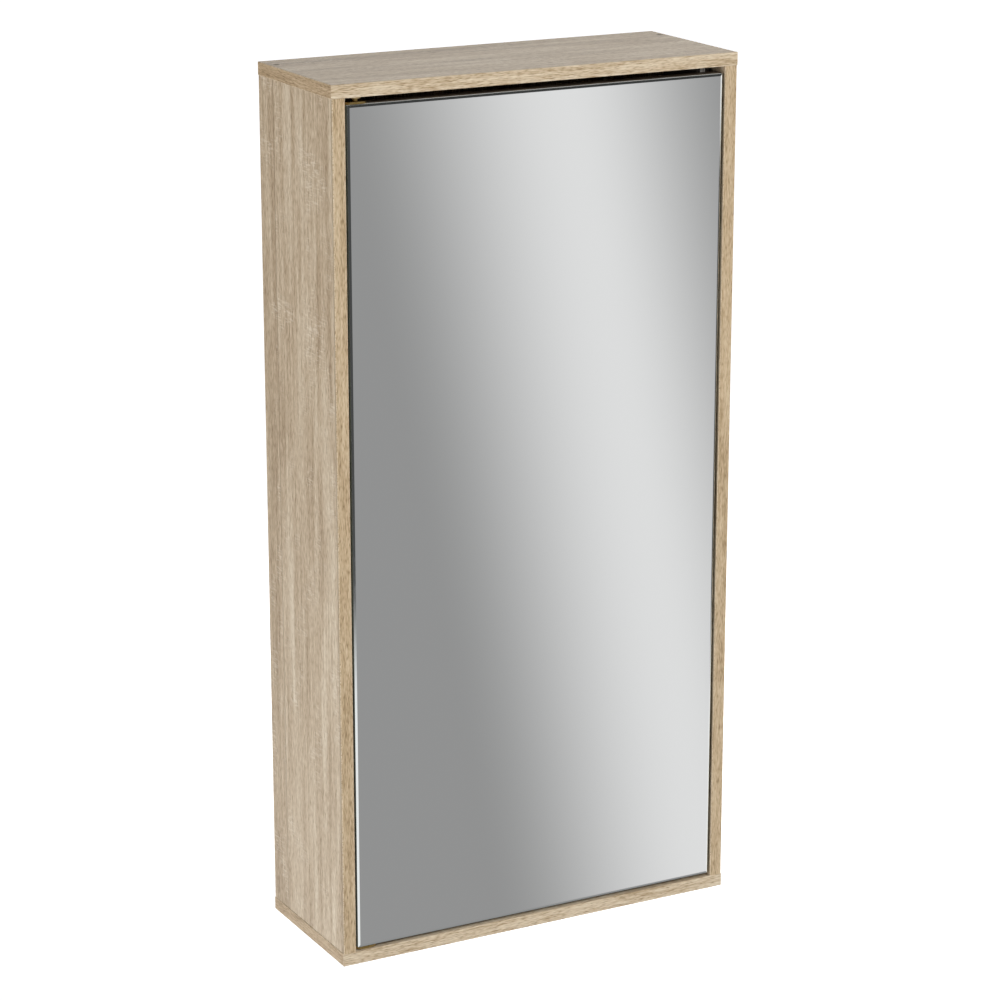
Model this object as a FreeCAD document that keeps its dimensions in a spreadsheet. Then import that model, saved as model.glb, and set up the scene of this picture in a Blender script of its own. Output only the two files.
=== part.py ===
import FreeCAD, Part
import os
import Sketcher

# Mirrored wall cabinet: an oak decor carcass with one mirror door on pivot hinges and a push-to-open latch.
# Millimetres. +Z is up, the front faces -Y and the wall is the plane y = 0.
# The origin lies on the wall, midway between the two wall screw holes.

SHELF_COUNT = 3
FIXED_SHELVES = {"lower_shelf": 0, "upper_shelf": 2}
LOOSE_SHELVES = {"middle_shelf": 1}
TAPE_STRIPS = 4

SIZES = (
    ("cabinet_width", 400, "over the ends of the top panel"),
    ("cabinet_depth", 150, "from the wall to the front edging"),
    ("cabinet_height", 800, "over the top and bottom panels"),
    ("board", 12, "thickness of the carcass boards"),
    ("edging", 1, "thickness of the edging strips"),
    ("overhang", 0.5, "top and bottom panels past each side panel"),
    ("back_thickness", 3, "back panel"),
    ("groove_depth", 6, "groove for the back panel"),
    ("groove_play", 0.2, "groove wider than the back panel"),
    ("back_play", 0.5, "back panel short of the groove's floor"),
    ("rail_height", 60, "hanging rail, right under the top panel"),
    ("wall_hole_spacing", 300, "between the wall screw holes"),
    ("wall_hole", 6, "diameter of the wall screw holes"),
    ("shelf_setback", 24, "shelf front behind the cabinet front"),
    ("shelf_side_play", 0.5, "shelf end to side panel"),
    ("shelf_back_play", 1, "shelf to back panel"),
    ("support_sheet", 1.5, "thickness of a shelf support's plates"),
    ("support_width", 12, "width of a shelf support"),
    ("support_reach", 9, "tongue under the shelf"),
    ("support_height", 13, "plate against the side panel"),
    ("support_pin", 5, "pin diameter"),
    ("support_pin_length", 8, "pin in the side panel"),
    ("support_pin_drop", 7, "pin axis below the shelf"),
    ("support_front_inset", 30, "front supports behind the shelf front"),
    ("support_rear_inset", 25, "rear supports before the back panel"),
    ("drill_play", 0.05, "hole or slot wall to screw, biscuit or pin"),
    ("drill_end_play", 0.5, "hole or slot past the end of a screw, biscuit or pin"),
    ("carcass_screw", 3, "shank diameter"),
    ("carcass_screw_head", 6, "head diameter"),
    ("carcass_screw_length", 40, "with the head"),
    ("carcass_screw_inset", 25, "from the wall"),
    ("biscuit_length", 47, "flat wooden biscuit"),
    ("biscuit_width", 15, "half of it in each board"),
    ("biscuit_thickness", 4, "flat wooden biscuit"),
    ("biscuit_clip", 5, "clipped corners"),
    ("biscuit_inset", 45, "middle of the corner biscuits behind the cabinet front"),
    ("small_screw", 3, "shank diameter of the fitting screws"),
    ("small_screw_head", 5.2, "head diameter"),
    ("small_screw_length", 9, "with the head"),
    ("door_side_gap", 2, "between door and side panel"),
    ("door_recess", 0.5, "mirror face behind the cabinet front"),
    ("door_thickness", 10, "door board"),
    ("mirror_thickness", 4, "glass"),
    ("mirror_setback", 0.5, "glass edge inside the door edge"),
    ("mirror_bevel", 2, "polished bevel round the front, across the glass"),
    ("mirror_bevel_depth", 0.75, "polished bevel, down the edge of the glass"),
    ("tape_thickness", 1, "foam tape under the glass"),
    ("tape_width", 25, "one strip"),
    ("tape_inset", 40, "strips inside the door edges"),
    ("leaf_thickness", 2, "hinge angle on the door"),
    ("leaf_width", 20, "hinge angle"),
    ("leaf_corner", 3, "clipped corners of the hinge angle"),
    ("leaf_front", 4.5, "hinge angle before the pivot"),
    ("leaf_flange", 28, "hinge angle down the back of the door"),
    ("leaf_screw_spacing", 14, "between the two screws of a hinge angle"),
    ("leaf_screw_end", 6.5, "last screw to the end of the flange"),
    ("pivot_pin", 5, "diameter"),
    ("pivot_play", 0.05, "pin to bush"),
    ("pivot_from_edge", 10, "pivot axis inside the door's left edge"),
    ("pivot_from_front", 5.5, "pivot axis behind the mirror face"),
    ("upper_pin_reach", 5, "upper pin in its bush"),
    ("lower_pin_reach", 2.6, "lower pin in its bush"),
    ("lift_play", 3, "room over the door to lift it off its lower pin"),
    ("bush_outside", 7, "diameter of the sleeve"),
    ("bush_depth", 8, "sleeve in the panel"),
    ("bush_flange", 1, "thickness"),
    ("bush_flange_diameter", 11, "flange under which or on which the door turns"),
    ("latch_from_side", 11.5, "plunger axis to the right side panel"),
    ("latch_width", 14, "housing without its flange"),
    ("latch_height", 18, "housing"),
    ("latch_length", 56, "housing"),
    ("latch_edge", 1.5, "bevel of the housing's lower edges"),
    ("latch_flange", 12, "width of the fixing flange"),
    ("latch_flange_thickness", 2.5, "fixing flange"),
    ("latch_screw_spacing", 34, "between the two latch screws"),
    ("latch_end_wall", 4, "wall behind the plunger's bore"),
    ("plunger", 8, "diameter"),
    ("plunger_play", 0.1, "plunger to its bore"),
    ("plunger_length", 40, "with the magnet"),
    ("plunger_drop", 12, "axis below the top panel"),
    ("plunger_stand_out", 3, "tip before the housing, door shut"),
    ("plunger_gap", 0.2, "tip to strike plate, door shut"),
    ("spring_outside", 7, "diameter"),
    ("spring_wire", 0.9, "wire diameter"),
    ("magnet", 7, "diameter"),
    ("magnet_length", 3, "on the plunger's tip"),
    ("strike_thickness", 1.5, "strike plate"),
    ("strike_width", 16, "strike plate"),
    ("strike_height", 20, "strike plate"),
    ("strike_above_axis", 5.5, "strike plate's top over the plunger axis"),
    ("strike_corner", 2, "clipped corners"),
)

# Places in the cabinet, as expressions of the sizes.
HALF_WIDTH = "(Sizes.cabinet_width / 2)"
SIDE_INNER = f"({HALF_WIDTH} - Sizes.overhang - Sizes.board)"
SIDE_MIDDLE = f"({SIDE_INNER} + Sizes.board / 2)"
INNER_HEIGHT = "(Sizes.cabinet_height - 2 * Sizes.board)"
TOP_INNER = "(Sizes.rail_height / 2)"
BOTTOM_INNER = f"({TOP_INNER} - {INNER_HEIGHT})"
FRONT = "(-Sizes.cabinet_depth)"
BOARD_FRONT = f"({FRONT} + Sizes.edging)"
BACK_REAR = "(-Sizes.board)"
BACK_FRONT = f"({BACK_REAR} - Sizes.back_thickness)"
GROOVE_FRONT = f"({BACK_FRONT} - Sizes.groove_play)"
BACK_IN_GROOVE = "(Sizes.groove_depth - Sizes.back_play)"
WALL_HOLE_X = "(Sizes.wall_hole_spacing / 2)"
SHELF_FRONT = f"({FRONT} + Sizes.shelf_setback)"
SHELF_BOARD_FRONT = f"({SHELF_FRONT} + Sizes.edging)"
SHELF_END = f"({SIDE_INNER} - Sizes.shelf_side_play)"
SHELF_CLEAR = f"(({INNER_HEIGHT} - {SHELF_COUNT} * Sizes.board) / {SHELF_COUNT + 1})"
SUPPORT_ROWS = (
    f"({SHELF_FRONT} + Sizes.support_front_inset)",
    f"({BACK_FRONT} - Sizes.support_rear_inset)",
)
SHELF_MIDDLE = f"(({SHELF_BOARD_FRONT} + {BACK_FRONT}) / 2)"
SCREW_Y = "(-Sizes.carcass_screw_inset)"
BISCUIT_Y = f"({FRONT} + Sizes.biscuit_inset)"
RAIL_MIDDLE = "(-Sizes.board / 2)"

MIRROR_FRONT = f"({FRONT} + Sizes.door_recess)"
MIRROR_REAR = f"({MIRROR_FRONT} + Sizes.mirror_thickness)"
DOOR_BOARD_FRONT = f"({MIRROR_REAR} + Sizes.tape_thickness)"
DOOR_REAR = f"({DOOR_BOARD_FRONT} + Sizes.door_thickness)"
DOOR_HALF = f"({SIDE_INNER} - Sizes.door_side_gap)"
DOOR_TOP = f"({TOP_INNER} - Sizes.bush_flange - Sizes.lift_play - Sizes.leaf_thickness)"
DOOR_BOTTOM = f"({BOTTOM_INNER} + Sizes.bush_flange + Sizes.leaf_thickness)"
DOOR_BOARD_HALF = f"({DOOR_HALF} - Sizes.edging)"
DOOR_BOARD_TOP = f"({DOOR_TOP} - Sizes.edging)"
DOOR_BOARD_BOTTOM = f"({DOOR_BOTTOM} + Sizes.edging)"

PIVOT_X = f"(Sizes.pivot_from_edge - {DOOR_HALF})"
PIVOT_Y = f"({MIRROR_FRONT} + Sizes.pivot_from_front)"
PIVOT_TO_DOOR_REAR = f"({DOOR_REAR} - {PIVOT_Y})"
LEAF_SCREWS = (
    "(Sizes.leaf_flange - Sizes.leaf_screw_end)",
    "(Sizes.leaf_flange - Sizes.leaf_screw_end - Sizes.leaf_screw_spacing)",
)

LATCH_X = f"({SIDE_INNER} - Sizes.latch_from_side)"
PLUNGER_Z = f"({TOP_INNER} - Sizes.plunger_drop)"
STRIKE_REAR = f"({DOOR_REAR} + Sizes.strike_thickness)"
PLUNGER_TIP = f"({STRIKE_REAR} + Sizes.plunger_gap)"
LATCH_FRONT = f"({PLUNGER_TIP} + Sizes.plunger_stand_out)"
LATCH_BORE = "(Sizes.latch_length - Sizes.latch_end_wall)"
LATCH_SCREW_X = "(-(Sizes.latch_width + Sizes.latch_flange) / 2)"
LATCH_SCREWS = (
    "((Sizes.latch_length - Sizes.latch_screw_spacing) / 2)",
    "((Sizes.latch_length + Sizes.latch_screw_spacing) / 2)",
)
STRIKE_TOP = f"({PLUNGER_Z} + Sizes.strike_above_axis)"

PILOT = "(Sizes.small_screw + 2 * Sizes.drill_play)"
PILOT_REACH = "(Sizes.small_screw_length + Sizes.drill_end_play)"
SLOT_WIDE = "(Sizes.biscuit_thickness + 2 * Sizes.drill_play)"
SLOT_LONG = "(Sizes.biscuit_length + 2 * Sizes.drill_end_play)"
SLOT_DEEP = "(Sizes.biscuit_width / 2 + Sizes.drill_end_play)"

# Turns that bring a piece from its own frame into the cabinet.
UNTURNED = FreeCAD.Rotation()
HEAD_DOWN = FreeCAD.Rotation(FreeCAD.Vector(0, 1, 0), 180)
UP_TO_BACK = FreeCAD.Rotation(FreeCAD.Vector(1, 0, 0), -90)
FACING_LEFT = FreeCAD.Rotation(FreeCAD.Vector(0, 0, 1), 180)
QUARTER_TURN = FreeCAD.Rotation(FreeCAD.Vector(0, 0, 1), 90)
ON_EDGE_FRONT_TO_BACK = FreeCAD.Rotation(FreeCAD.Vector(1, 1, 1), 120)
ON_EDGE_UPRIGHT = FreeCAD.Rotation(FreeCAD.Vector(1, 1, 1), -120)

SAME_PLACE = 1e-4

doc = FreeCAD.newDocument("mirrored_wall_cabinet")
sheet = doc.addObject("Spreadsheet::Sheet", "Sizes")
pieces = []


def fill_sheet():
    """One row for each size: its name, its value and what it measures."""
    for row, (name, millimetres, meaning) in enumerate(SIZES, 1):
        sheet.set(f"A{row}", name)
        sheet.set(f"B{row}", str(millimetres))
        sheet.set(f"C{row}", meaning)
        sheet.setAlias(f"B{row}", name)
    doc.recompute()


def value(expression):
    """The number that an expression of the sizes gives."""
    return float(sheet.evalExpression(expression))


def negative(expression):
    return f"(-{expression})"


# Helpers that draw and build

def keep(piece, label):
    """Name a finished piece and put it on the list of what is exported."""
    piece.Label = label
    pieces.append(piece)
    return piece


def place(piece, x="0", y="0", z="0", turn=UNTURNED):
    """Turn a piece and put its own origin at the given place."""
    piece.Placement = FreeCAD.Placement(FreeCAD.Vector(), turn)
    for axis, expression in zip("xyz", (x, y, z)):
        piece.setExpression(f"Placement.Base.{axis}", expression)
    return piece


def box(name, x, y, z):
    """A plain board or strip between two coordinates on each axis."""
    solid = doc.addObject("Part::Box", name)
    for size, axis, (low, high) in zip(("Length", "Width", "Height"), "xyz", (x, y, z)):
        solid.setExpression(size, f"({high}) - ({low})")
        solid.setExpression(f"Placement.Base.{axis}", low)
    return solid


def group(label, members):
    """Several separate solids that form one named piece."""
    compound = doc.addObject("Part::Compound", label)
    compound.Links = members
    return keep(compound, label)


def copies(label, original, places):
    """A group of like pieces: each place is x, y, z and a turn."""
    members = []
    for x, y, z, turn in places:
        link = doc.addObject("App::Link", f"{label}_copy")
        link.LinkedObject = original
        members.append(place(link, x, y, z, turn))
    return group(label, members)


def sketch_in(body, plane, offset="0"):
    """An empty sketch on one of the body's origin planes, moved along its normal."""
    sketch = body.newObject("Sketcher::SketchObject", f"{body.Name}_sketch")
    support = next(item for item in body.Origin.OriginFeatures if item.Role == plane)
    sketch.AttachmentSupport = (support, [""])
    sketch.MapMode = "FlatFace"
    sketch.setExpression("AttachmentOffset.Base.z", offset)
    return sketch


def fix_point(sketch, geometry, point, x, y):
    """Tie a point of the sketch to two coordinates."""
    for kind, expression in (("DistanceX", x), ("DistanceY", y)):
        constraint = Sketcher.Constraint(kind, -1, 1, geometry, point, value(expression))
        number = sketch.addConstraint(constraint)
        sketch.setExpression(f"Constraints[{number}]", expression)


def draw_polygon(sketch, corners):
    """A closed outline of straight lines through corners given as expressions."""
    points = [FreeCAD.Vector(value(x), value(y), 0) for x, y in corners]
    lines = [
        sketch.addGeometry(Part.LineSegment(start, end))
        for start, end in zip(points, points[1:] + points[:1])
    ]
    for line, following in zip(lines, lines[1:] + lines[:1]):
        sketch.addConstraint(Sketcher.Constraint("Coincident", line, 2, following, 1))
    for line, (x, y) in zip(lines, corners):
        fix_point(sketch, line, 1, x, y)


def draw_rectangle(sketch, x, y):
    (left, right), (low, high) = x, y
    draw_polygon(sketch, ((left, low), (right, low), (right, high), (left, high)))


def draw_circle(sketch, x, y, diameter):
    centre = FreeCAD.Vector(value(x), value(y), 0)
    circle = sketch.addGeometry(Part.Circle(centre, FreeCAD.Vector(0, 0, 1), value(diameter) / 2))
    fix_point(sketch, circle, 3, x, y)
    number = sketch.addConstraint(Sketcher.Constraint("Diameter", circle, value(diameter)))
    sketch.setExpression(f"Constraints[{number}]", diameter)


def new_body(name):
    return doc.addObject("PartDesign::Body", name)


def pad(body, sketch, length, against_normal=False, symmetric=False):
    feature = body.newObject("PartDesign::Pad", f"{body.Name}_pad")
    feature.Profile = sketch
    feature.SideType = "Symmetric" if symmetric else "One side"
    feature.Reversed = against_normal
    feature.setExpression("Length", length)
    doc.recompute()


def cut(body, sketch, depth, along_normal=False):
    """A pocket, which has to take something away."""
    before = body.Shape.Volume
    feature = body.newObject("PartDesign::Pocket", f"{body.Name}_pocket")
    feature.Profile = sketch
    feature.Reversed = along_normal
    feature.setExpression("Length", depth)
    doc.recompute()
    if body.Shape.Volume >= before:
        raise RuntimeError(f"{feature.Name} cuts nothing")


def drill(body, plane, offset, points, diameter, depth, along_normal=False):
    """Round holes of one size, square to a plane."""
    sketch = sketch_in(body, plane, offset)
    for x, y in points:
        draw_circle(sketch, x, y, diameter)
    cut(body, sketch, depth, along_normal)


def cut_slots(body, plane, offset, centres, width, height, along_normal=False):
    """Slots for half a biscuit, each centred on a point of the plane."""
    sketch = sketch_in(body, plane, offset)
    for x, y in centres:
        across = (f"({x} - {width} / 2)", f"({x} + {width} / 2)")
        up = (f"({y} - {height} / 2)", f"({y} + {height} / 2)")
        draw_rectangle(sketch, across, up)
    cut(body, sketch, SLOT_DEEP, along_normal)


def drill_countersunk(body, plane, offset, points, shank, head, depth, along_normal=False):
    """Holes for countersunk screws, with the heads flush at the sketch."""
    sketch = sketch_in(body, plane, offset)
    for x, y in points:
        draw_circle(sketch, x, y, shank)
    doc.recompute()
    before = body.Shape.Volume
    hole = body.newObject("PartDesign::Hole", f"{body.Name}_hole")
    hole.Profile = sketch
    hole.Reversed = along_normal
    hole.ThreadType = "None"
    hole.DepthType = "Dimension"
    hole.DrillPoint = "Flat"
    hole.HoleCutType = "Countersink"
    hole.HoleCutCustomValues = True
    hole.HoleCutCountersinkAngle = 90
    hole.setExpression("Diameter", f"{shank} + 2 * Sizes.drill_play")
    hole.setExpression("HoleCutDiameter", head)
    hole.setExpression("Depth", depth)
    doc.recompute()
    if body.Shape.Volume >= before:
        raise RuntimeError(f"{hole.Name} cuts nothing")


def straight_edges(body, along, **at):
    """Names of the straight edges along an axis that lie at the given coordinates."""
    names = []
    for number, edge in enumerate(body.Shape.Edges, 1):
        if not isinstance(edge.Curve, Part.Line):
            continue
        ends = [vertex.Point for vertex in edge.Vertexes]
        moves = {axis: abs(getattr(ends[0] - ends[1], axis)) for axis in "xyz"}
        crosswise = max(move for axis, move in moves.items() if axis != along)
        distances = [abs(getattr(ends[0], axis) - place) for axis, place in at.items()]
        if crosswise < SAME_PLACE and max(distances, default=0) < SAME_PLACE:
            names.append(f"Edge{number}")
    return names


def dress(body, kind, size_name, size, edges):
    """A fillet or chamfer on named edges of the body's last feature."""
    base = body.Tip
    feature = body.newObject(f"PartDesign::{kind}", f"{body.Name}_{kind.lower()}")
    feature.Base = (base, edges)
    feature.setExpression(size_name, size)
    doc.recompute()


def round_edges(body, radius, edges):
    dress(body, "Fillet", "Radius", radius, edges)


def clip_edges(body, size, edges):
    dress(body, "Chamfer", "Size", size, edges)


def bevel_edges(body, down_side, across_face, edges):
    """A chamfer with a size of its own on each of the two faces."""
    dress(body, "Chamfer", "Size", down_side, edges)
    body.Tip.ChamferType = "Two distances"
    body.Tip.setExpression("Size2", across_face)
    doc.recompute()


def turned(name, outline):
    """A piece turned about its own Z axis from an outline of radius and height."""
    body = new_body(name)
    sketch = sketch_in(body, "XZ_Plane")
    draw_polygon(sketch, outline)
    revolution = body.newObject("PartDesign::Revolution", f"{name}_revolution")
    revolution.Profile = sketch
    revolution.ReferenceAxis = (sketch, ["V_Axis"])
    revolution.Angle = 360
    doc.recompute()
    return body


# Bought-in fasteners, each drawn once

def countersunk_screw(name, shank, head, length):
    """Head flush at the origin, plain shank below."""
    outline = (
        ("0", "0"),
        (f"{head} / 2", "0"),
        (f"{shank} / 2", f"({shank} - {head}) / 2"),
        (f"{shank} / 2", negative(length)),
        ("0", negative(length)),
    )
    return turned(name, outline)


def wood_biscuit():
    """Flat biscuit with clipped corners, lying in the XY plane along X, its middle at the origin."""
    body = new_body("biscuit")
    long, wide = "Sizes.biscuit_length / 2", "Sizes.biscuit_width / 2"
    short, narrow = f"({long} - Sizes.biscuit_clip)", f"({wide} - Sizes.biscuit_clip)"
    outline = sketch_in(body, "XY_Plane")
    draw_polygon(outline, (
        (f"-{short}", f"-{wide}"),
        (short, f"-{wide}"),
        (long, f"-{narrow}"),
        (long, narrow),
        (short, wide),
        (f"-{short}", wide),
        (f"-{long}", narrow),
        (f"-{long}", f"-{narrow}"),
    ))
    pad(body, outline, "Sizes.biscuit_thickness", symmetric=True)
    return body


# Carcass boards

def end_panel(name, hinge_x):
    """Top or bottom board, drawn as the top one: inner face at z = 0, outer face up."""
    body = new_body(name)
    outline = sketch_in(body, "XY_Plane")
    end = f"({HALF_WIDTH} - Sizes.edging)"
    draw_rectangle(outline, (negative(end), end), (BOARD_FRONT, "0"))
    pad(body, outline, "Sizes.board")

    groove = sketch_in(body, "XY_Plane")
    groove_end = f"({SIDE_INNER} + Sizes.groove_depth)"
    draw_rectangle(groove, (negative(groove_end), groove_end), (GROOVE_FRONT, BACK_REAR))
    cut(body, groove, "Sizes.groove_depth", along_normal=True)

    screws = [(negative(SIDE_MIDDLE), SCREW_Y), (SIDE_MIDDLE, SCREW_Y)]
    through = "Sizes.board + Sizes.drill_end_play"
    drill_countersunk(body, "XY_Plane", "Sizes.board", screws, "Sizes.carcass_screw",
                      "Sizes.carcass_screw_head", through)

    biscuits = [(negative(SIDE_MIDDLE), BISCUIT_Y), (SIDE_MIDDLE, BISCUIT_Y)]
    cut_slots(body, "XY_Plane", "0", biscuits, SLOT_WIDE, SLOT_LONG, along_normal=True)

    drill(body, "XY_Plane", "0", [(hinge_x, PIVOT_Y)], "Sizes.bush_outside",
          "Sizes.bush_depth + Sizes.drill_end_play", along_normal=True)
    return body


def top_panel():
    body = end_panel("top_panel", PIVOT_X)
    latch_screws = [(f"{LATCH_X} + {LATCH_SCREW_X}", f"{LATCH_FRONT} + {back}") for back in LATCH_SCREWS]
    drill(body, "XY_Plane", "0", latch_screws, PILOT,
          f"{PILOT_REACH} - Sizes.latch_flange_thickness", along_normal=True)
    keep(place(body, z=TOP_INNER), "top_panel")


def bottom_panel():
    body = end_panel("bottom_panel", negative(PIVOT_X))
    keep(place(body, z=BOTTOM_INNER, turn=HEAD_DOWN), "bottom_panel")


def shelf_underside(shelf):
    """Height of the underside of a shelf, counted from 0 at the bottom."""
    return f"({BOTTOM_INNER} + {shelf + 1} * {SHELF_CLEAR} + {shelf} * Sizes.board)"


def shelf_middle(shelf):
    return f"({shelf_underside(shelf)} + Sizes.board / 2)"


def side_panels():
    """The right side board, inner face at x = 0, and its mirror image on the left."""
    body = new_body("right_side_panel")
    outline = sketch_in(body, "YZ_Plane")
    draw_rectangle(outline, (BOARD_FRONT, "0"), (BOTTOM_INNER, TOP_INNER))
    pad(body, outline, "Sizes.board")

    groove = sketch_in(body, "YZ_Plane")
    draw_rectangle(groove, (GROOVE_FRONT, BACK_REAR), (BOTTOM_INNER, TOP_INNER))
    cut(body, groove, "Sizes.groove_depth", along_normal=True)

    cut_slots(body, "YZ_Plane", "0", [(RAIL_MIDDLE, "0")], SLOT_WIDE, SLOT_LONG, along_normal=True)
    shelf_slots = [(SHELF_MIDDLE, shelf_middle(shelf)) for shelf in FIXED_SHELVES.values()]
    cut_slots(body, "YZ_Plane", "0", shelf_slots, SLOT_LONG, SLOT_WIDE, along_normal=True)

    support_holes = []
    for shelf in LOOSE_SHELVES.values():
        height = f"{shelf_underside(shelf)} - Sizes.support_pin_drop"
        support_holes += [(row, height) for row in SUPPORT_ROWS]
    drill(body, "YZ_Plane", "0", support_holes, "Sizes.support_pin + 2 * Sizes.drill_play",
          "Sizes.support_pin_length + Sizes.drill_end_play", along_normal=True)

    for end, inwards in ((TOP_INNER, False), (BOTTOM_INNER, True)):
        drill(body, "XY_Plane", end, [("Sizes.board / 2", SCREW_Y)],
              "Sizes.carcass_screw + 2 * Sizes.drill_play",
              "Sizes.carcass_screw_length - Sizes.board + Sizes.drill_end_play", along_normal=inwards)
        cut_slots(body, "XY_Plane", end, [("Sizes.board / 2", BISCUIT_Y)], SLOT_WIDE, SLOT_LONG,
                  along_normal=inwards)
    keep(place(body, x=SIDE_INNER), "right_side_panel")

    mirrored = doc.addObject("Part::Mirroring", "left_side_panel")
    mirrored.Source = body
    mirrored.Normal = FreeCAD.Vector(1, 0, 0)
    keep(mirrored, "left_side_panel")


def back_panel():
    """Thin board in the grooves, with holes for the wall screws."""
    body = new_body("back_panel")
    sketch = sketch_in(body, "XZ_Plane")
    end = f"({SIDE_INNER} + {BACK_IN_GROOVE})"
    heights = (f"{BOTTOM_INNER} - {BACK_IN_GROOVE}", f"{TOP_INNER} + {BACK_IN_GROOVE}")
    draw_rectangle(sketch, (negative(end), end), heights)
    for x in (negative(WALL_HOLE_X), WALL_HOLE_X):
        draw_circle(sketch, x, "0", "Sizes.wall_hole")
    pad(body, sketch, "Sizes.back_thickness")
    keep(place(body, y=BACK_REAR), "back_panel")


def hanging_rail():
    """Board behind the back panel that takes the wall screws."""
    body = new_body("hanging_rail")
    sketch = sketch_in(body, "XZ_Plane")
    draw_rectangle(sketch, (negative(SIDE_INNER), SIDE_INNER), (negative(TOP_INNER), TOP_INNER))
    for x in (negative(WALL_HOLE_X), WALL_HOLE_X):
        draw_circle(sketch, x, "0", "Sizes.wall_hole")
    pad(body, sketch, "Sizes.board")
    for end, inwards in ((SIDE_INNER, False), (negative(SIDE_INNER), True)):
        cut_slots(body, "YZ_Plane", end, [(RAIL_MIDDLE, "0")], SLOT_WIDE, SLOT_LONG, along_normal=inwards)
    keep(place(body), "hanging_rail")


def fixed_shelf(name, shelf):
    """Shelf that is glued in on a biscuit at each end, underside at z = 0."""
    body = new_body(name)
    outline = sketch_in(body, "XY_Plane")
    draw_rectangle(outline, (negative(SIDE_INNER), SIDE_INNER), (SHELF_BOARD_FRONT, BACK_FRONT))
    pad(body, outline, "Sizes.board")
    for end, inwards in ((SIDE_INNER, False), (negative(SIDE_INNER), True)):
        cut_slots(body, "YZ_Plane", end, [(SHELF_MIDDLE, "(Sizes.board / 2)")], SLOT_LONG, SLOT_WIDE, inwards)
    keep(place(body, z=shelf_underside(shelf)), name)


def loose_shelf(name, shelf):
    """Shelf that lies on supports, with a little room at its ends and behind it."""
    under = shelf_underside(shelf)
    depth = (SHELF_BOARD_FRONT, f"({BACK_FRONT} - Sizes.shelf_back_play)")
    board = box(name, (negative(SHELF_END), SHELF_END), depth, (under, f"({under} + Sizes.board)"))
    keep(board, name)


def shelves():
    """The shelves, with an edging strip on the front of each."""
    strips = []
    for name, shelf in FIXED_SHELVES.items():
        fixed_shelf(name, shelf)
        strips.append(shelf_strip(f"{name}_strip", shelf, SIDE_INNER))
    for name, shelf in LOOSE_SHELVES.items():
        loose_shelf(name, shelf)
        strips.append(shelf_strip(f"{name}_strip", shelf, SHELF_END))
    group("shelf_edging", strips)


def shelf_strip(name, shelf, end):
    under = shelf_underside(shelf)
    height = (under, f"({under} + Sizes.board)")
    return box(name, (negative(end), end), (SHELF_FRONT, SHELF_BOARD_FRONT), height)


def shelf_supports():
    """Plug-in supports: an angle with a tongue under the shelf and a pin into the side panel."""
    body = new_body("shelf_support")
    angle = sketch_in(body, "XZ_Plane")
    draw_polygon(angle, (
        ("0", "0"),
        ("-Sizes.support_reach", "0"),
        ("-Sizes.support_reach", "-Sizes.support_sheet"),
        ("-Sizes.support_sheet", "-Sizes.support_sheet"),
        ("-Sizes.support_sheet", "-Sizes.support_height"),
        ("0", "-Sizes.support_height"),
    ))
    pad(body, angle, "Sizes.support_width", symmetric=True)
    pin = sketch_in(body, "YZ_Plane")
    draw_circle(pin, "0", "-Sizes.support_pin_drop", "Sizes.support_pin")
    pad(body, pin, "Sizes.support_pin_length")
    places = []
    for shelf in LOOSE_SHELVES.values():
        for row in SUPPORT_ROWS:
            places.append((SIDE_INNER, row, shelf_underside(shelf), UNTURNED))
            places.append((negative(SIDE_INNER), row, shelf_underside(shelf), FACING_LEFT))
    copies("shelf_supports", body, places)


def carcass_edging():
    """Strips on the front edges and on the open ends of the top and bottom panels."""
    ends = (negative(HALF_WIDTH), HALF_WIDTH)
    for label, inner, outer in (
        ("top_edging", TOP_INNER, f"({TOP_INNER} + Sizes.board)"),
        ("bottom_edging", f"({BOTTOM_INNER} - Sizes.board)", BOTTOM_INNER),
    ):
        height = (inner, outer)
        front = box(f"{label}_front", ends, (FRONT, BOARD_FRONT), height)
        left = box(f"{label}_left", (ends[0], f"(Sizes.edging - {HALF_WIDTH})"), (BOARD_FRONT, "0"), height)
        right = box(f"{label}_right", (f"({HALF_WIDTH} - Sizes.edging)", ends[1]), (BOARD_FRONT, "0"), height)
        group(label, [front, left, right])
    outer_face = f"({SIDE_INNER} + Sizes.board)"
    for label, x in (
        ("left_side_edging", (negative(outer_face), negative(SIDE_INNER))),
        ("right_side_edging", (SIDE_INNER, outer_face)),
    ):
        keep(box(label, x, (FRONT, BOARD_FRONT), (BOTTOM_INNER, TOP_INNER)), label)


def carcass_screws():
    screw = countersunk_screw("carcass_screw", "Sizes.carcass_screw", "Sizes.carcass_screw_head",
                              "Sizes.carcass_screw_length")
    top_face = f"({TOP_INNER} + Sizes.board)"
    bottom_face = f"({BOTTOM_INNER} - Sizes.board)"
    screws = []
    for x in (negative(SIDE_MIDDLE), SIDE_MIDDLE):
        screws.append((x, SCREW_Y, top_face, UNTURNED))
        screws.append((x, SCREW_Y, bottom_face, HEAD_DOWN))
    copies("carcass_screws", screw, screws)


def carcass_biscuits():
    """Biscuits in the front corners, in the ends of the rail and in the ends of the fixed shelves."""
    biscuit = wood_biscuit()
    corners = []
    for x in (negative(SIDE_MIDDLE), SIDE_MIDDLE):
        corners += [(x, BISCUIT_Y, z, ON_EDGE_FRONT_TO_BACK) for z in (TOP_INNER, BOTTOM_INNER)]
    copies("corner_biscuits", biscuit, corners)
    ends = (negative(SIDE_INNER), SIDE_INNER)
    copies("rail_biscuits", biscuit, [(x, RAIL_MIDDLE, "0", ON_EDGE_UPRIGHT) for x in ends])
    shelf_ends = []
    for shelf in FIXED_SHELVES.values():
        shelf_ends += [(x, SHELF_MIDDLE, shelf_middle(shelf), QUARTER_TURN) for x in ends]
    copies("shelf_biscuits", biscuit, shelf_ends)


# Door

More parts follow.
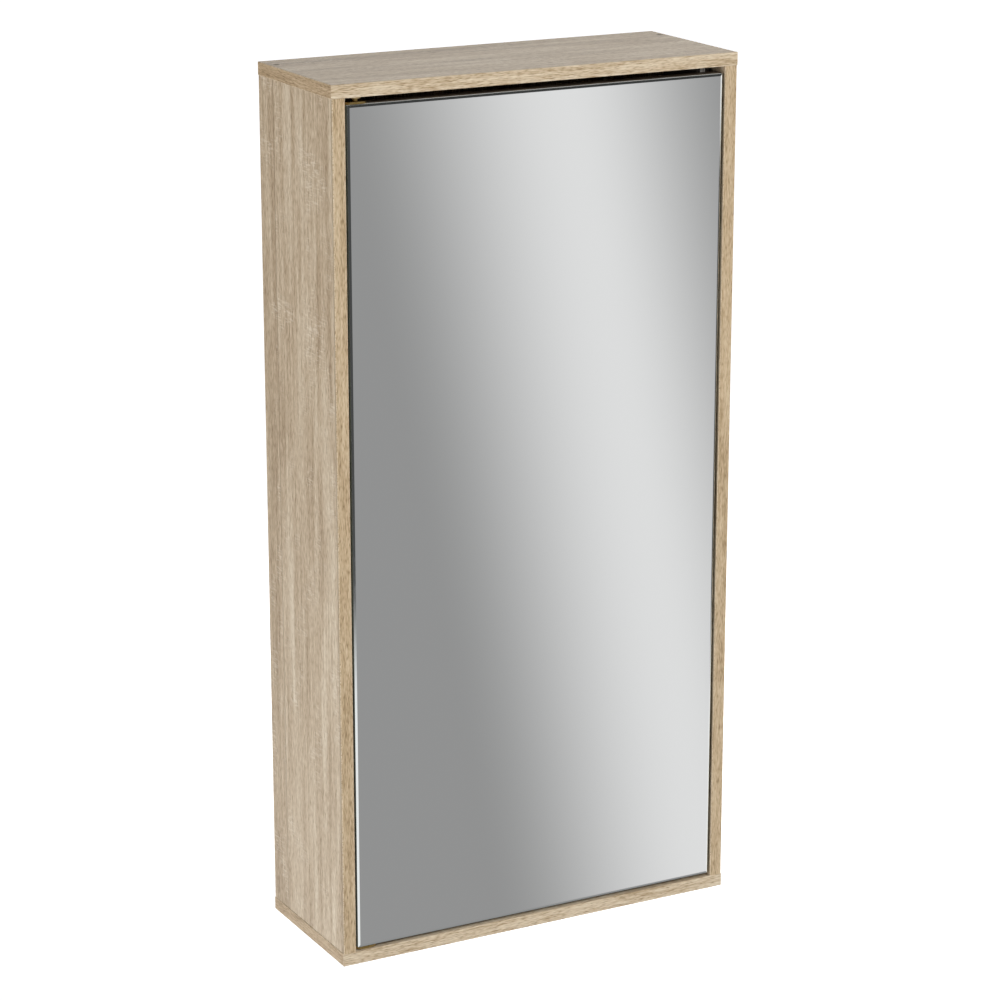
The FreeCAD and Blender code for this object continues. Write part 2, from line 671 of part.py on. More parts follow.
def door_board():
    """Board behind the mirror, front face at y = 0, drilled from behind for the fittings."""
    body = new_body("door_board")
    outline = sketch_in(body, "XZ_Plane")
    draw_rectangle(outline, (negative(DOOR_BOARD_HALF), DOOR_BOARD_HALF), (DOOR_BOARD_BOTTOM, DOOR_BOARD_TOP))
    pad(body, outline, "Sizes.door_thickness", against_normal=True)

    leaf_screws = [(PIVOT_X, f"{DOOR_TOP} - {down}") for down in LEAF_SCREWS]
    leaf_screws += [(PIVOT_X, f"{DOOR_BOTTOM} + {up}") for up in LEAF_SCREWS]
    rear = "-Sizes.door_thickness"
    drill(body, "XZ_Plane", rear, leaf_screws, PILOT,
          f"{PILOT_REACH} - Sizes.leaf_thickness", along_normal=True)
    keep(place(body, y=DOOR_BOARD_FRONT), "door_board")


def door_edging():
    depth = (DOOR_BOARD_FRONT, DOOR_REAR)
    height = (DOOR_BOTTOM, DOOR_TOP)
    board_ends = (negative(DOOR_BOARD_HALF), DOOR_BOARD_HALF)
    group("door_edging", [
        box("door_strip_left", (negative(DOOR_HALF), board_ends[0]), depth, height),
        box("door_strip_right", (DOOR_BOARD_HALF, DOOR_HALF), depth, height),
        box("door_strip_top", board_ends, depth, (DOOR_BOARD_TOP, DOOR_TOP)),
        box("door_strip_bottom", board_ends, depth, (DOOR_BOTTOM, DOOR_BOARD_BOTTOM)),
    ])


def mirror_pane():
    """Glass with a flat polished bevel round its front face, which lies at y = 0."""
    body = new_body("mirror_pane")
    outline = sketch_in(body, "XZ_Plane")
    half = f"({DOOR_HALF} - Sizes.mirror_setback)"
    heights = (f"{DOOR_BOTTOM} + Sizes.mirror_setback", f"{DOOR_TOP} - Sizes.mirror_setback")
    draw_rectangle(outline, (negative(half), half), heights)
    pad(body, outline, "Sizes.mirror_thickness", against_normal=True)
    front_edges = straight_edges(body, "x", y=0) + straight_edges(body, "z", y=0)
    bevel_edges(body, "Sizes.mirror_bevel_depth", "Sizes.mirror_bevel", front_edges)
    keep(place(body, y=MIRROR_FRONT), "mirror_pane")


def mirror_tape():
    """Upright strips of foam tape, spread evenly over the board."""
    height = (f"{DOOR_BOTTOM} + Sizes.tape_inset", f"({DOOR_TOP} - Sizes.tape_inset)")
    first = f"(Sizes.tape_inset - {DOOR_HALF})"
    pitch = f"(2 * ({DOOR_HALF} - Sizes.tape_inset) - Sizes.tape_width) / {TAPE_STRIPS - 1}"
    strips = []
    for number in range(TAPE_STRIPS):
        left = f"({first} + {number} * {pitch})"
        width = (left, f"({left} + Sizes.tape_width)")
        strips.append(box("tape_strip", width, (MIRROR_REAR, DOOR_BOARD_FRONT), height))
    group("mirror_tape", strips)


# Pivot hinges

def hinge_angle():
    """Angle over the door's top edge: pivot at the origin, plate above z = 0, flange down the back."""
    body = new_body("hinge_angle")
    profile = sketch_in(body, "YZ_Plane")
    outer = f"({PIVOT_TO_DOOR_REAR} + Sizes.leaf_thickness)"
    draw_polygon(profile, (
        ("-Sizes.leaf_front", "0"),
        (PIVOT_TO_DOOR_REAR, "0"),
        (PIVOT_TO_DOOR_REAR, "-Sizes.leaf_flange"),
        (outer, "-Sizes.leaf_flange"),
        (outer, "Sizes.leaf_thickness"),
        ("-Sizes.leaf_front", "Sizes.leaf_thickness"),
    ))
    pad(body, profile, "Sizes.leaf_width", symmetric=True)
    bend = straight_edges(body, "x", y=value(outer), z=value("Sizes.leaf_thickness"))
    round_edges(body, "Sizes.leaf_thickness", bend)
    corners = straight_edges(body, "z", y=-value("Sizes.leaf_front"))
    corners += straight_edges(body, "y", z=-value("Sizes.leaf_flange"))
    clip_edges(body, "Sizes.leaf_corner", corners)
    through = "2 * Sizes.leaf_thickness"
    drill(body, "XY_Plane", "0", [("0", "0")], "Sizes.pivot_pin", through, along_normal=True)
    drill_countersunk(body, "XZ_Plane", negative(outer), [("0", negative(down)) for down in LEAF_SCREWS],
                      "Sizes.small_screw", "Sizes.small_screw_head", through, along_normal=True)
    return body


def pivot_pin(name, length):
    """Pin riveted into the hinge angle: its fixed end at the origin, its free end above."""
    radius = "Sizes.pivot_pin / 2"
    return turned(name, (("0", "0"), (radius, "0"), (radius, length), ("0", length)))


def pivot_bush():
    """Flanged bush pressed into a panel: the flange below z = 0, the sleeve above."""
    bore = "Sizes.pivot_pin / 2 + Sizes.pivot_play"
    sleeve = "Sizes.bush_outside / 2"
    flange = "Sizes.bush_flange_diameter / 2"
    outline = (
        (bore, "-Sizes.bush_flange"),
        (flange, "-Sizes.bush_flange"),
        (flange, "0"),
        (sleeve, "0"),
        (sleeve, "Sizes.bush_depth"),
        (bore, "Sizes.bush_depth"),
    )
    return turned("pivot_bush", outline)


def hinges(screw):
    """The upper hinge, and the lower one turned upside down."""
    copies("pivot_bushes", pivot_bush(), [
        (PIVOT_X, PIVOT_Y, TOP_INNER, UNTURNED),
        (PIVOT_X, PIVOT_Y, BOTTOM_INNER, HEAD_DOWN),
    ])
    copies("hinge_angles", hinge_angle(), [
        (PIVOT_X, PIVOT_Y, DOOR_TOP, UNTURNED),
        (PIVOT_X, PIVOT_Y, DOOR_BOTTOM, HEAD_DOWN),
    ])
    upper_pin = pivot_pin("upper_pivot_pin", f"({TOP_INNER} - {DOOR_TOP} + Sizes.upper_pin_reach)")
    lower_pin = pivot_pin("lower_pivot_pin", "(Sizes.leaf_thickness + Sizes.lower_pin_reach)")
    keep(place(upper_pin, PIVOT_X, PIVOT_Y, DOOR_TOP), "upper_pivot_pin")
    keep(place(lower_pin, PIVOT_X, PIVOT_Y, DOOR_BOTTOM, HEAD_DOWN), "lower_pivot_pin")

    behind_leaf = f"{DOOR_REAR} + Sizes.leaf_thickness"
    screws = []
    for reach in LEAF_SCREWS:
        screws.append((PIVOT_X, behind_leaf, f"{DOOR_TOP} - {reach}", UP_TO_BACK))
        screws.append((PIVOT_X, behind_leaf, f"{DOOR_BOTTOM} + {reach}", UP_TO_BACK))
    copies("hinge_screws", screw, screws)


# Push-to-open latch

def latch_housing():
    """Housing under the top panel: plunger axis at x = 0, front at y = 0, fixed face at z = 0."""
    body = new_body("latch_housing")
    section = sketch_in(body, "XZ_Plane")
    side = "(Sizes.latch_width / 2)"
    flange_side = f"(-{side} - Sizes.latch_flange)"
    draw_polygon(section, (
        (flange_side, "0"),
        (flange_side, "-Sizes.latch_flange_thickness"),
        (negative(side), "-Sizes.latch_flange_thickness"),
        (negative(side), "-Sizes.latch_height"),
        (side, "-Sizes.latch_height"),
        (side, "0"),
    ))
    pad(body, section, "Sizes.latch_length", against_normal=True)
    clip_edges(body, "Sizes.latch_edge", straight_edges(body, "y", z=-value("Sizes.latch_height")))
    drill(body, "XZ_Plane", "0", [("0", "-Sizes.plunger_drop")],
          "Sizes.plunger + 2 * Sizes.plunger_play", LATCH_BORE)
    drill_countersunk(body, "XY_Plane", "-Sizes.latch_flange_thickness",
                      [(LATCH_SCREW_X, back) for back in LATCH_SCREWS],
                      "Sizes.small_screw", "Sizes.small_screw_head", "2 * Sizes.latch_flange_thickness",
                      along_normal=True)
    keep(place(body, LATCH_X, LATCH_FRONT, TOP_INNER), "latch_housing")


def latch_plunger():
    """Round plunger behind the magnet, with the magnet's tip at the origin."""
    radius = "Sizes.plunger / 2"
    start, end = "Sizes.magnet_length", "Sizes.plunger_length"
    plunger = turned("latch_plunger", (("0", start), (radius, start), (radius, end), ("0", end)))
    keep(place(plunger, LATCH_X, PLUNGER_TIP, PLUNGER_Z, UP_TO_BACK), "latch_plunger")


def latch_magnet():
    magnet = doc.addObject("Part::Cylinder", "latch_magnet")
    magnet.setExpression("Radius", "Sizes.magnet / 2")
    magnet.setExpression("Height", "Sizes.magnet_length")
    keep(place(magnet, LATCH_X, PLUNGER_TIP, PLUNGER_Z, UP_TO_BACK), "latch_magnet")


def latch_spring():
    """Space of the coil spring between the plunger and the end of its bore, as a plain sleeve."""
    start, end = "Sizes.plunger_length", f"(Sizes.plunger_stand_out + {LATCH_BORE})"
    outer = "Sizes.spring_outside / 2"
    inner = f"{outer} - Sizes.spring_wire"
    sleeve = turned("latch_spring", ((inner, start), (outer, start), (outer, end), (inner, end)))
    keep(place(sleeve, LATCH_X, PLUNGER_TIP, PLUNGER_Z, UP_TO_BACK), "latch_spring")


def strike_plate():
    """Steel plate glued on the back of the door, which the magnet holds, rear face at y = 0."""
    body = new_body("strike_plate")
    outline = sketch_in(body, "XZ_Plane")
    side = "(Sizes.strike_width / 2)"
    draw_rectangle(outline, (negative(side), side), ("-Sizes.strike_height", "0"))
    pad(body, outline, "Sizes.strike_thickness")
    clip_edges(body, "Sizes.strike_corner", straight_edges(body, "y"))
    keep(place(body, LATCH_X, STRIKE_REAR, STRIKE_TOP), "strike_plate")


def latch_screws(screw):
    under_flange = f"{TOP_INNER} - Sizes.latch_flange_thickness"
    x = f"{LATCH_X} + {LATCH_SCREW_X}"
    places = [(x, f"{LATCH_FRONT} + {back}", under_flange, HEAD_DOWN) for back in LATCH_SCREWS]
    copies("latch_screws", screw, places)


def export():
    """Write every piece, once all of them are sound."""
    doc.recompute()
    for item in doc.Objects:
        if "Invalid" in item.State or "Error" in item.State:
            raise RuntimeError(f"{item.Label} did not build: {item.State}")
    for piece in pieces:
        if piece.Shape.isNull() or not piece.Shape.isValid():
            raise RuntimeError(f"{piece.Label} has no sound shape")
    os.makedirs("parts", exist_ok=True)
    for piece in pieces:
        piece.Shape.exportStep(f"parts/{piece.Label}.step")
    print(f"{len(pieces)} pieces written")


fill_sheet()
top_panel()
bottom_panel()
side_panels()
back_panel()
hanging_rail()
shelves()
shelf_supports()
carcass_edging()
carcass_screws()
carcass_biscuits()
door_board()
door_edging()
mirror_pane()
mirror_tape()
fitting_screw = countersunk_screw("fitting_screw", "Sizes.small_screw", "Sizes.small_screw_head",
                                  "Sizes.small_screw_length")
hinges(fitting_screw)
latch_housing()
latch_plunger()
latch_magnet()
latch_spring()
strike_plate()
latch_screws(fitting_screw)
export()
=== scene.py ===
import bmesh
import bpy
import math
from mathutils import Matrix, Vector


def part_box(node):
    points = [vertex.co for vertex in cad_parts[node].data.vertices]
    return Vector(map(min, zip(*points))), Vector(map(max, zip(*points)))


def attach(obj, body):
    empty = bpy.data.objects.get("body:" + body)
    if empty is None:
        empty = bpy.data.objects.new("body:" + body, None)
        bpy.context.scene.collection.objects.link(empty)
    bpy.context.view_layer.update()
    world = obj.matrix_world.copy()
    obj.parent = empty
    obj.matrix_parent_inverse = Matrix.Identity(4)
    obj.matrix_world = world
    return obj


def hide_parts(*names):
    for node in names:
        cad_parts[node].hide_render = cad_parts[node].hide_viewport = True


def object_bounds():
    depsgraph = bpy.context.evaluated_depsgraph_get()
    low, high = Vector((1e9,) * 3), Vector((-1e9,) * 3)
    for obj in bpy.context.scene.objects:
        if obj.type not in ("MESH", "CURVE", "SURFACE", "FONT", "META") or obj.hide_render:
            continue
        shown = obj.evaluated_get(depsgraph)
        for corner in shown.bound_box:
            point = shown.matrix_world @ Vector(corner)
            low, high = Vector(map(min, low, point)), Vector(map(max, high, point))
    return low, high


# Mirrored wall cabinet: laminated boards, a mirror door on pivot hinges and a push-to-open latch.
# Metres. +Z is up, the front faces -Y and the wall is the plane y = 0.

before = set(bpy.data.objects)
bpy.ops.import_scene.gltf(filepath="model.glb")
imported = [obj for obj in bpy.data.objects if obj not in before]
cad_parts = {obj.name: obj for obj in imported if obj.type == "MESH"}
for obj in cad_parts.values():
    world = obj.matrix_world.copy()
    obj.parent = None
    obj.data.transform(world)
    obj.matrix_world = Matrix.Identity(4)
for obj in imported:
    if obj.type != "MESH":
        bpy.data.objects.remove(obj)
cad_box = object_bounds()

MM = 0.001
AXES = "xyz"


# Helpers for nodes and colours

def linear(hex_colour):
    """An sRGB hex colour as linear red, green, blue and alpha."""
    channels = [int(hex_colour[start:start + 2], 16) / 255 for start in (1, 3, 5)]
    return tuple(c / 12.92 if c <= 0.04045 else ((c + 0.055) / 1.055) ** 2.4 for c in channels) + (1.0,)


def add(tree, kind, inputs=None, **settings):
    """A node with its settings, its values and its links. A list holds several links to one socket."""
    node = tree.nodes.new(kind)
    for name, setting in settings.items():
        setattr(node, name, setting)
    for socket, source in (inputs or {}).items():
        for link in source if isinstance(source, list) else [source]:
            if isinstance(link, bpy.types.NodeSocket):
                tree.links.new(link, node.inputs[socket])
            else:
                node.inputs[socket].default_value = link
    return node


def spread(ramp, stops):
    """Colours of a ramp at their positions from 0 to 1."""
    stops = list(stops)
    while len(ramp.elements) < len(stops):
        ramp.elements.new(1.0)
    for element, (position, colour) in zip(ramp.elements, stops):
        element.position = position
        element.color = linear(colour)


def new_material(name, surface):
    """A material with one Principled shader and the values that are the same all over it."""
    material = bpy.data.materials.new(name)
    material.use_nodes = True
    shader = material.node_tree.nodes["Principled BSDF"]
    for socket, setting in surface.items():
        shader.inputs[socket].default_value = setting
    return material, material.node_tree, shader


def millimetres(tree):
    """The place on the object, in millimetres."""
    place = add(tree, "ShaderNodeTexCoord").outputs["Object"]
    return add(tree, "ShaderNodeVectorMath", {0: place, "Scale": 1 / MM}, operation="SCALE").outputs[0]


def stretched(tree, parts, sizes):
    """Coordinates in which a pattern's feature measures the given millimetres along each part."""
    lengths = [
        add(tree, "ShaderNodeMath", {0: part, 1: size}, operation="DIVIDE").outputs[0]
        for part, size in zip(parts, sizes)
    ]
    return add(tree, "ShaderNodeCombineXYZ", dict(enumerate(lengths))).outputs[0]


def patterned(tree, shader, pattern, shades=(), roughness=(), relief=0.0, strength=0.3):
    """Let a pattern with values from 0 to 1 set the colour, the roughness and the relief of a surface.

    shades are colours at their places in the pattern and roughness its values at 0 and at 1. relief is the
    height of the bumps in metres and strength how much of it shows.
    """
    if shades:
        colour = add(tree, "ShaderNodeValToRGB", {0: pattern})
        spread(colour.color_ramp, shades)
        tree.links.new(colour.outputs[0], shader.inputs["Base Color"])
    if roughness:
        varied = add(tree, "ShaderNodeMapRange",
                     {"Value": pattern, "To Min": roughness[0], "To Max": roughness[1]})
        tree.links.new(varied.outputs[0], shader.inputs["Roughness"])
    if relief:
        bump = add(tree, "ShaderNodeBump", {"Strength": strength, "Distance": relief, "Height": pattern})
        tree.links.new(bump.outputs[0], shader.inputs["Normal"])


# Wood materials

# Dark, middle and light tone of each print. The strips come from different rolls.
BOARD_TONES = ("#917A60", "#C3AF94", "#E3D6C0")
EDGING_TONES = {
    "x": ("#9D8562", "#CAB699", "#DFD1B9"),
    "y": ("#887254", "#B79E7E", "#CBB697"),
    "z": ("#927B58", "#BFA786", "#D4C1A2"),
}
# Near-black tones of the door's strips: painted shade for the dark gaps round the door
PAINTED_SHADE_TONES = ("#221B15", "#3A3027", "#4E4337")
# Places of the three tones in the pattern, and the shades of the marks over them
TONE_STOPS = (0.16, 0.5, 0.84)
PORE_SHADE = "#7D664C"
SAW_SHADE = "#EFE6D6"
JOINT_SHADE = "#6F5942"

# Shares of the layers in the tone, and of the pores in the colour
CLOUD_SHARE = 0.6
BAND_SHARE = 0.5
FIBRE_SHARE = 0.8
STAVE_SHARE = 0.2
PORE_SHARE = 0.45
# A pore begins where the flecks fall to the first level and is full at the second
PORE_LEVELS = (0.42, 0.26)

# Width of the printed planks and the place of one joint, in millimetres across the grain
BOARD_STAVES = (118.0, 111.5)
NO_STAVES = (2000.0, 1000.0)
# Each plank's tone follows from its number, and its grain from its tone
STAVE_TONE_STEP = 0.55
STAVE_FIRST_TONE = 0.65
STAVE_JUMP = 1900.0
# Dark core of a joint and its soft border, in millimetres from its middle
JOINT_REACH = (0.4, 1.6)
JOINT_STRENGTH = 0.3

# Sizes of patterns in millimetres: twice across the grain, then along it
WANDER_SIZES = (60, 60, 300)
WANDER = 14.0
SAW_LINE_SIZES = (7, 7, 1.4)
SAW_PATCH_SIZES = (30, 30, 45)
# Saw lines and their patches begin at the first level of their patterns and are full at the others
SAW_START = 0.5
SAW_LINE_FULL = 0.7
SAW_PATCH_FULL = 0.66


def oak_print(name, along, tones, staves, figure, fleck_length, fine, saw_strength):
    """Oak decor printed on paper or foil: pale beige clouds, dark pores and light flecks along the grain.

    along is the axis of the grain. figure is the width of the clouds and fleck_length the length of the
    pores, in millimetres. fine is the share of the fine grain in the tone and saw_strength that of the saw
    marks.
    """
    material, tree, shader = new_material(name, {"IOR": 1.5, "Specular IOR Level": 0.5})
    place = add(tree, "ShaderNodeSeparateXYZ", {0: millimetres(tree)})
    grain = place.outputs[AXES.index(along)]
    sides = [place.outputs[number] for number, axis in enumerate(AXES) if axis != along]
    across = add(tree, "ShaderNodeMath", {0: sides[0], 1: sides[1]}, operation="ADD").outputs[0]

    # Printed planks, each with its own tone and its own stretch of grain
    width, start = staves
    stave = add(tree, "ShaderNodeMath", {0: across, 1: start}, operation="ADD").outputs[0]
    stave = add(tree, "ShaderNodeMath", {0: stave, 1: width}, operation="DIVIDE").outputs[0]
    number = add(tree, "ShaderNodeMath", {0: stave}, operation="FLOOR").outputs[0]
    stave_tone = add(tree, "ShaderNodeMath", {0: number, 1: STAVE_TONE_STEP, 2: STAVE_FIRST_TONE},
                     operation="MULTIPLY_ADD").outputs[0]
    stave_tone = add(tree, "ShaderNodeMath", {0: stave_tone}, operation="FRACT").outputs[0]
    jump = add(tree, "ShaderNodeMath", {0: stave_tone, 1: STAVE_JUMP, 2: grain},
               operation="MULTIPLY_ADD").outputs[0]
    from_joint = add(tree, "ShaderNodeMath", {0: stave, 1: 0.5}, operation="PINGPONG").outputs[0]
    core, border = JOINT_REACH
    joint = add(tree, "ShaderNodeMapRange",
                {"Value": from_joint, "From Min": core / width, "From Max": border / width,
                 "To Min": JOINT_STRENGTH, "To Max": 0}).outputs[0]

    # The grain wanders slowly; every pattern follows it
    parts = (sides[0], sides[1], jump)
    wander = add(tree, "ShaderNodeTexNoise",
                 {"Vector": stretched(tree, parts, WANDER_SIZES), "Scale": 1, "Detail": 1}).outputs[0]
    flow = add(tree, "ShaderNodeMath", {0: wander, 1: WANDER, 2: across},
               operation="MULTIPLY_ADD").outputs[0]
    bent = (flow, sides[1], jump)

    # Real pores are 0.3 mm wide; they are drawn about 1 mm wide so that they show
    patterns = {}
    for pattern, thick, long, detail in (
        ("clouds", figure, 9 * figure, 2),
        ("bands", 0.3 * figure, 7 * figure, 2),
        ("fibres", 1.5, 3 * fleck_length, 2),
        ("flecks", 1.0, fleck_length, 1),
    ):
        where = stretched(tree, bent, (thick, thick, long))
        patterns[pattern] = add(tree, "ShaderNodeTexNoise",
                                {"Vector": where, "Scale": 1, "Detail": detail}).outputs[0]
    pores = add(tree, "ShaderNodeMapRange",
                {"Value": patterns["flecks"], "From Min": PORE_LEVELS[0], "From Max": PORE_LEVELS[1]},
                interpolation_type="SMOOTHSTEP").outputs[0]

    # Saw marks run across the grain, in patches
    saw = saw_strength
    for sizes, full in ((SAW_LINE_SIZES, SAW_LINE_FULL), (SAW_PATCH_SIZES, SAW_PATCH_FULL)):
        where = stretched(tree, parts, sizes)
        marks = add(tree, "ShaderNodeTexNoise", {"Vector": where, "Scale": 1, "Detail": 1}).outputs[0]
        marks = add(tree, "ShaderNodeMapRange",
                    {"Value": marks, "From Min": SAW_START, "From Max": full}).outputs[0]
        saw = add(tree, "ShaderNodeMath", {0: marks, 1: saw}, operation="MULTIPLY").outputs[0]

    # Tone from the layers, then pores, saw marks and joints over it
    tone = 0.5
    for layer, share in (
        (patterns["clouds"], CLOUD_SHARE),
        (patterns["bands"], BAND_SHARE),
        (patterns["fibres"], FIBRE_SHARE * fine),
        (patterns["flecks"], fine),
        (stave_tone, STAVE_SHARE),
    ):
        centred = add(tree, "ShaderNodeMath", {0: layer, 1: 0.5}, operation="SUBTRACT").outputs[0]
        tone = add(tree, "ShaderNodeMath", {0: centred, 1: share, 2: tone},
                   operation="MULTIPLY_ADD").outputs[0]
    colour = add(tree, "ShaderNodeValToRGB", {0: tone})
    spread(colour.color_ramp, zip(TONE_STOPS, tones))
    colour = colour.outputs[0]
    pore_share = add(tree, "ShaderNodeMath", {0: pores, 1: PORE_SHARE * fine},
                     operation="MULTIPLY").outputs[0]
    for share, shade in ((pore_share, PORE_SHADE), (saw, SAW_SHADE), (joint, JOINT_SHADE)):
        colour = add(tree, "ShaderNodeMix", {0: share, 6: colour, 7: linear(shade)},
                     data_type="RGBA").outputs[2]
    tree.links.new(colour, shader.inputs["Base Color"])
    patterned(tree, shader, pores, roughness=(0.38, 0.55))
    patterned(tree, shader, patterns["flecks"], relief=0.08 * MM)
    return material


def chipboard():
    """Sawn chipboard edge: tan wood chips of all tones, rough and dull."""
    material, tree, shader = new_material(
        "chipboard_sawn_edge", {"Roughness": 0.9, "Specular IOR Level": 0.2})
    place = millimetres(tree)
    chips = add(tree, "ShaderNodeTexVoronoi", {"Vector": place, "Scale": 0.55, "Randomness": 1.0})
    chip_tone = add(tree, "ShaderNodeSeparateColor", {0: chips.outputs["Color"]}).outputs[0]
    dust = add(tree, "ShaderNodeTexNoise", {"Vector": place, "Scale": 1.4, "Detail": 3}).outputs[0]
    tone = add(tree, "ShaderNodeMath", {0: chip_tone, 1: 0.6, 2: dust}, operation="MULTIPLY_ADD").outputs[0]
    patterned(tree, shader, tone, ((0.3, "#8F7049"), (0.65, "#B99A6E"), (1.0, "#D3B98E")),
              relief=0.3 * MM, strength=0.5)
    return material


def hardboard():
    """Bare back of a hardboard sheet: pressed brown fibre with fine flecks and a faint sheen."""
    material, tree, shader = new_material("hardboard_bare", {"Specular IOR Level": 0.3})
    place = millimetres(tree)
    felt = add(tree, "ShaderNodeTexNoise",
               {"Vector": place, "Scale": 0.9, "Detail": 5, "Roughness": 0.7}).outputs[0]
    clouds = add(tree, "ShaderNodeTexNoise", {"Vector": place, "Scale": 0.012, "Detail": 3}).outputs[0]
    tone = add(tree, "ShaderNodeMath", {0: clouds, 1: 0.5, 2: felt}, operation="MULTIPLY_ADD").outputs[0]
    patterned(tree, shader, tone, ((0.45, "#765537"), (0.75, "#8F6C48"), (1.0, "#A98862")))
    patterned(tree, shader, felt, roughness=(0.55, 0.8), relief=0.1 * MM)
    return material


def beech():
    """Pressed beech of the biscuits: pinkish tan with short dark flecks."""
    material, tree, shader = new_material("beech_pressed", {"Roughness": 0.7, "Specular IOR Level": 0.3})
    place = add(tree, "ShaderNodeSeparateXYZ", {0: millimetres(tree)})
    fleck_place = stretched(tree, place.outputs, (0.8, 4.0, 0.8))
    flecks = add(tree, "ShaderNodeTexNoise", {"Vector": fleck_place, "Scale": 1, "Detail": 2}).outputs[0]
    patterned(tree, shader, flecks, ((0.3, "#A97F52"), (0.5, "#C9A273"), (0.7, "#D8B78B")))
    return material


# Metal, glass and plastic materials

# Places in a noise pattern where a material's two shades lie
NOISE_STOPS = (0.35, 0.65)
GLASS_STOPS = (0.3, 0.7)


def plated_metal(name, shades, roughness, streak):
    """Plated sheet or wire with faint streaks. Shades and roughness run from handled to bright."""
    material, tree, shader = new_material(name, {"Metallic": 1.0})
    place = add(tree, "ShaderNodeSeparateXYZ", {0: millimetres(tree)})
    streak_place = stretched(tree, place.outputs, streak)
    streaks = add(tree, "ShaderNodeTexNoise", {"Vector": streak_place, "Scale": 1, "Detail": 3}).outputs[0]
    patterned(tree, shader, streaks, zip(NOISE_STOPS, shades), roughness)
    return material


def silvered_glass(name, tint, waves, detail, roughness):
    """Glass with silver behind it: a faintly green mirror whose shine varies in waves, in millimetres."""
    material, tree, shader = new_material(name, {"Metallic": 1.0, "Base Color": linear(tint)})
    place = add(tree, "ShaderNodeSeparateXYZ", {0: millimetres(tree)})
    wave_place = stretched(tree, place.outputs, waves)
    shine = add(tree, "ShaderNodeTexNoise", {"Vector": wave_place, "Scale": 1, "Detail": detail}).outputs[0]
    patterned(tree, shader, shine, roughness=roughness)
    return material


def glass_edge(name, shades, roughness):
    """Edge of float glass with faint lines; grey-green shades paint shade on it, pale shades a highlight."""
    material, tree, shader = new_material(name, {"IOR": 1.52})
    place = add(tree, "ShaderNodeSeparateXYZ", {0: millimetres(tree)})
    line_place = stretched(tree, place.outputs, (9, 0.4, 9))
    lines = add(tree, "ShaderNodeTexNoise", {"Vector": line_place, "Scale": 1, "Detail": 2}).outputs[0]
    patterned(tree, shader, lines, zip(GLASS_STOPS, shades), roughness)
    return material


def speckled(name, shades, grit, roughness, relief, surface):
    """A plain surface with a fine even texture: moulded plastic, paint or foam. grit is in millimetres."""
    material, tree, shader = new_material(name, surface)
    place = millimetres(tree)
    texture = add(tree, "ShaderNodeTexNoise", {"Vector": place, "Scale": 1 / grit, "Detail": 3}).outputs[0]
    patterned(tree, shader, texture, zip(NOISE_STOPS, shades), roughness, relief)
    return material


BOARD_FACE = {
    axis: oak_print(f"oak_decor_melamine_{axis}", axis, BOARD_TONES, BOARD_STAVES,
                    figure=20, fleck_length=6, fine=0.7, saw_strength=0.4)
    for axis in "xz"
}
EDGING = {
    axis: oak_print(f"oak_decor_edging_{axis}", axis, EDGING_TONES[axis], NO_STAVES,
                    figure=9, fleck_length=6, fine=1.0, saw_strength=0)
    for axis in AXES
}
# The door's strips, printed near-black as painted shade
PAINTED_SHADE_EDGING = {
    axis: oak_print(f"oak_edging_painted_shade_{axis}", axis, PAINTED_SHADE_TONES, NO_STAVES,
                    figure=9, fleck_length=5, fine=0.8, saw_strength=0)
    for axis in AXES
}
CHIPBOARD = chipboard()
HARDBOARD = hardboard()
BEECH = beech()
SILVER = silvered_glass("mirror_silvered_glass", "#F8F9F9", (90, 90, 60), 3, (0.005, 0.03))
BEVEL = silvered_glass("mirror_polished_bevel", "#EEF1F0", (14, 1, 14), 1, (0.02, 0.08))
# The pane's side edges are smooth and painted grey-green as shade; top and bottom are rougher and pale as a
# painted highlight
SHADED_GLASS_EDGE = glass_edge("glass_edge_painted_shade", ("#7C8883", "#939F9A"), (0.15, 0.25))
HIGHLIGHT_GLASS_EDGE = glass_edge("glass_edge_painted_highlight", ("#D9E0DD", "#F0F4F2"), (0.45, 0.6))
# Grey protective paint on the back of the mirror
MIRROR_PAINT = speckled("mirror_backing_paint", ("#6B7071", "#7C8182"), 0.6, (0.5, 0.65), 0.02 * MM, {})
# Brass plating on steel, rolled lengthwise
BRASS = plated_metal("brass_plated_steel", ("#A98D55", "#CDB175"), (0.42, 0.26), (6.0, 0.5, 0.5))
# Blue-white zinc plating, mottled from the bath
ZINC = plated_metal("zinc_plated_steel", ("#A9ABAA", "#C9CBCB"), (0.45, 0.28), (1.6, 1.6, 1.6))
# Zinc plating passivated dull olive, for the screws that show from outside
DULL_ZINC = plated_metal("zinc_plated_steel_olive", ("#5E543C", "#7A6E50"), (0.5, 0.35), (1.2, 1.2, 1.2))
NICKEL = plated_metal("nickel_plated_steel", ("#C8C5BD", "#D8D5CE"), (0.12, 0.05), (2.0, 2.0, 2.0))
SPRING_STEEL = plated_metal("spring_steel_wire", ("#8E8E8C", "#B5B5B3"), (0.35, 0.22), (3.0, 3.0, 3.0))
# Plastics as they leave the mould, with a fine spark-eroded grain: dark ABS, white acetal and beige nylon
MOULD_GRAIN = 0.02 * MM
LATCH_DARK = speckled(
    "abs_moulded_dark", ("#3A3530", "#453F39"), 0.35, (0.4, 0.52), MOULD_GRAIN, {"IOR": 1.54})
LATCH_WHITE = speckled(
    "acetal_moulded_white", ("#EFEEEA", "#F6F5F2"), 0.35, (0.42, 0.55), MOULD_GRAIN, {"IOR": 1.48})
NYLON = speckled(
    "nylon_moulded_beige", ("#9C8663", "#AB9672"), 0.5, (0.4, 0.55), MOULD_GRAIN, {"IOR": 1.53})
# Closed-cell foam with cells of about half a millimetre
FOAM = speckled(
    "foam_tape_white", ("#D8D7D2", "#ECEBE7"), 0.5, (0.8, 0.95), 0.1 * MM, {"Specular IOR Level": 0.2})


# Helpers for meshes

SAME_POINT = 0.001 * MM
SAME_PLANE = 0.01 * MM
FLAT_ANGLE = math.radians(0.2)
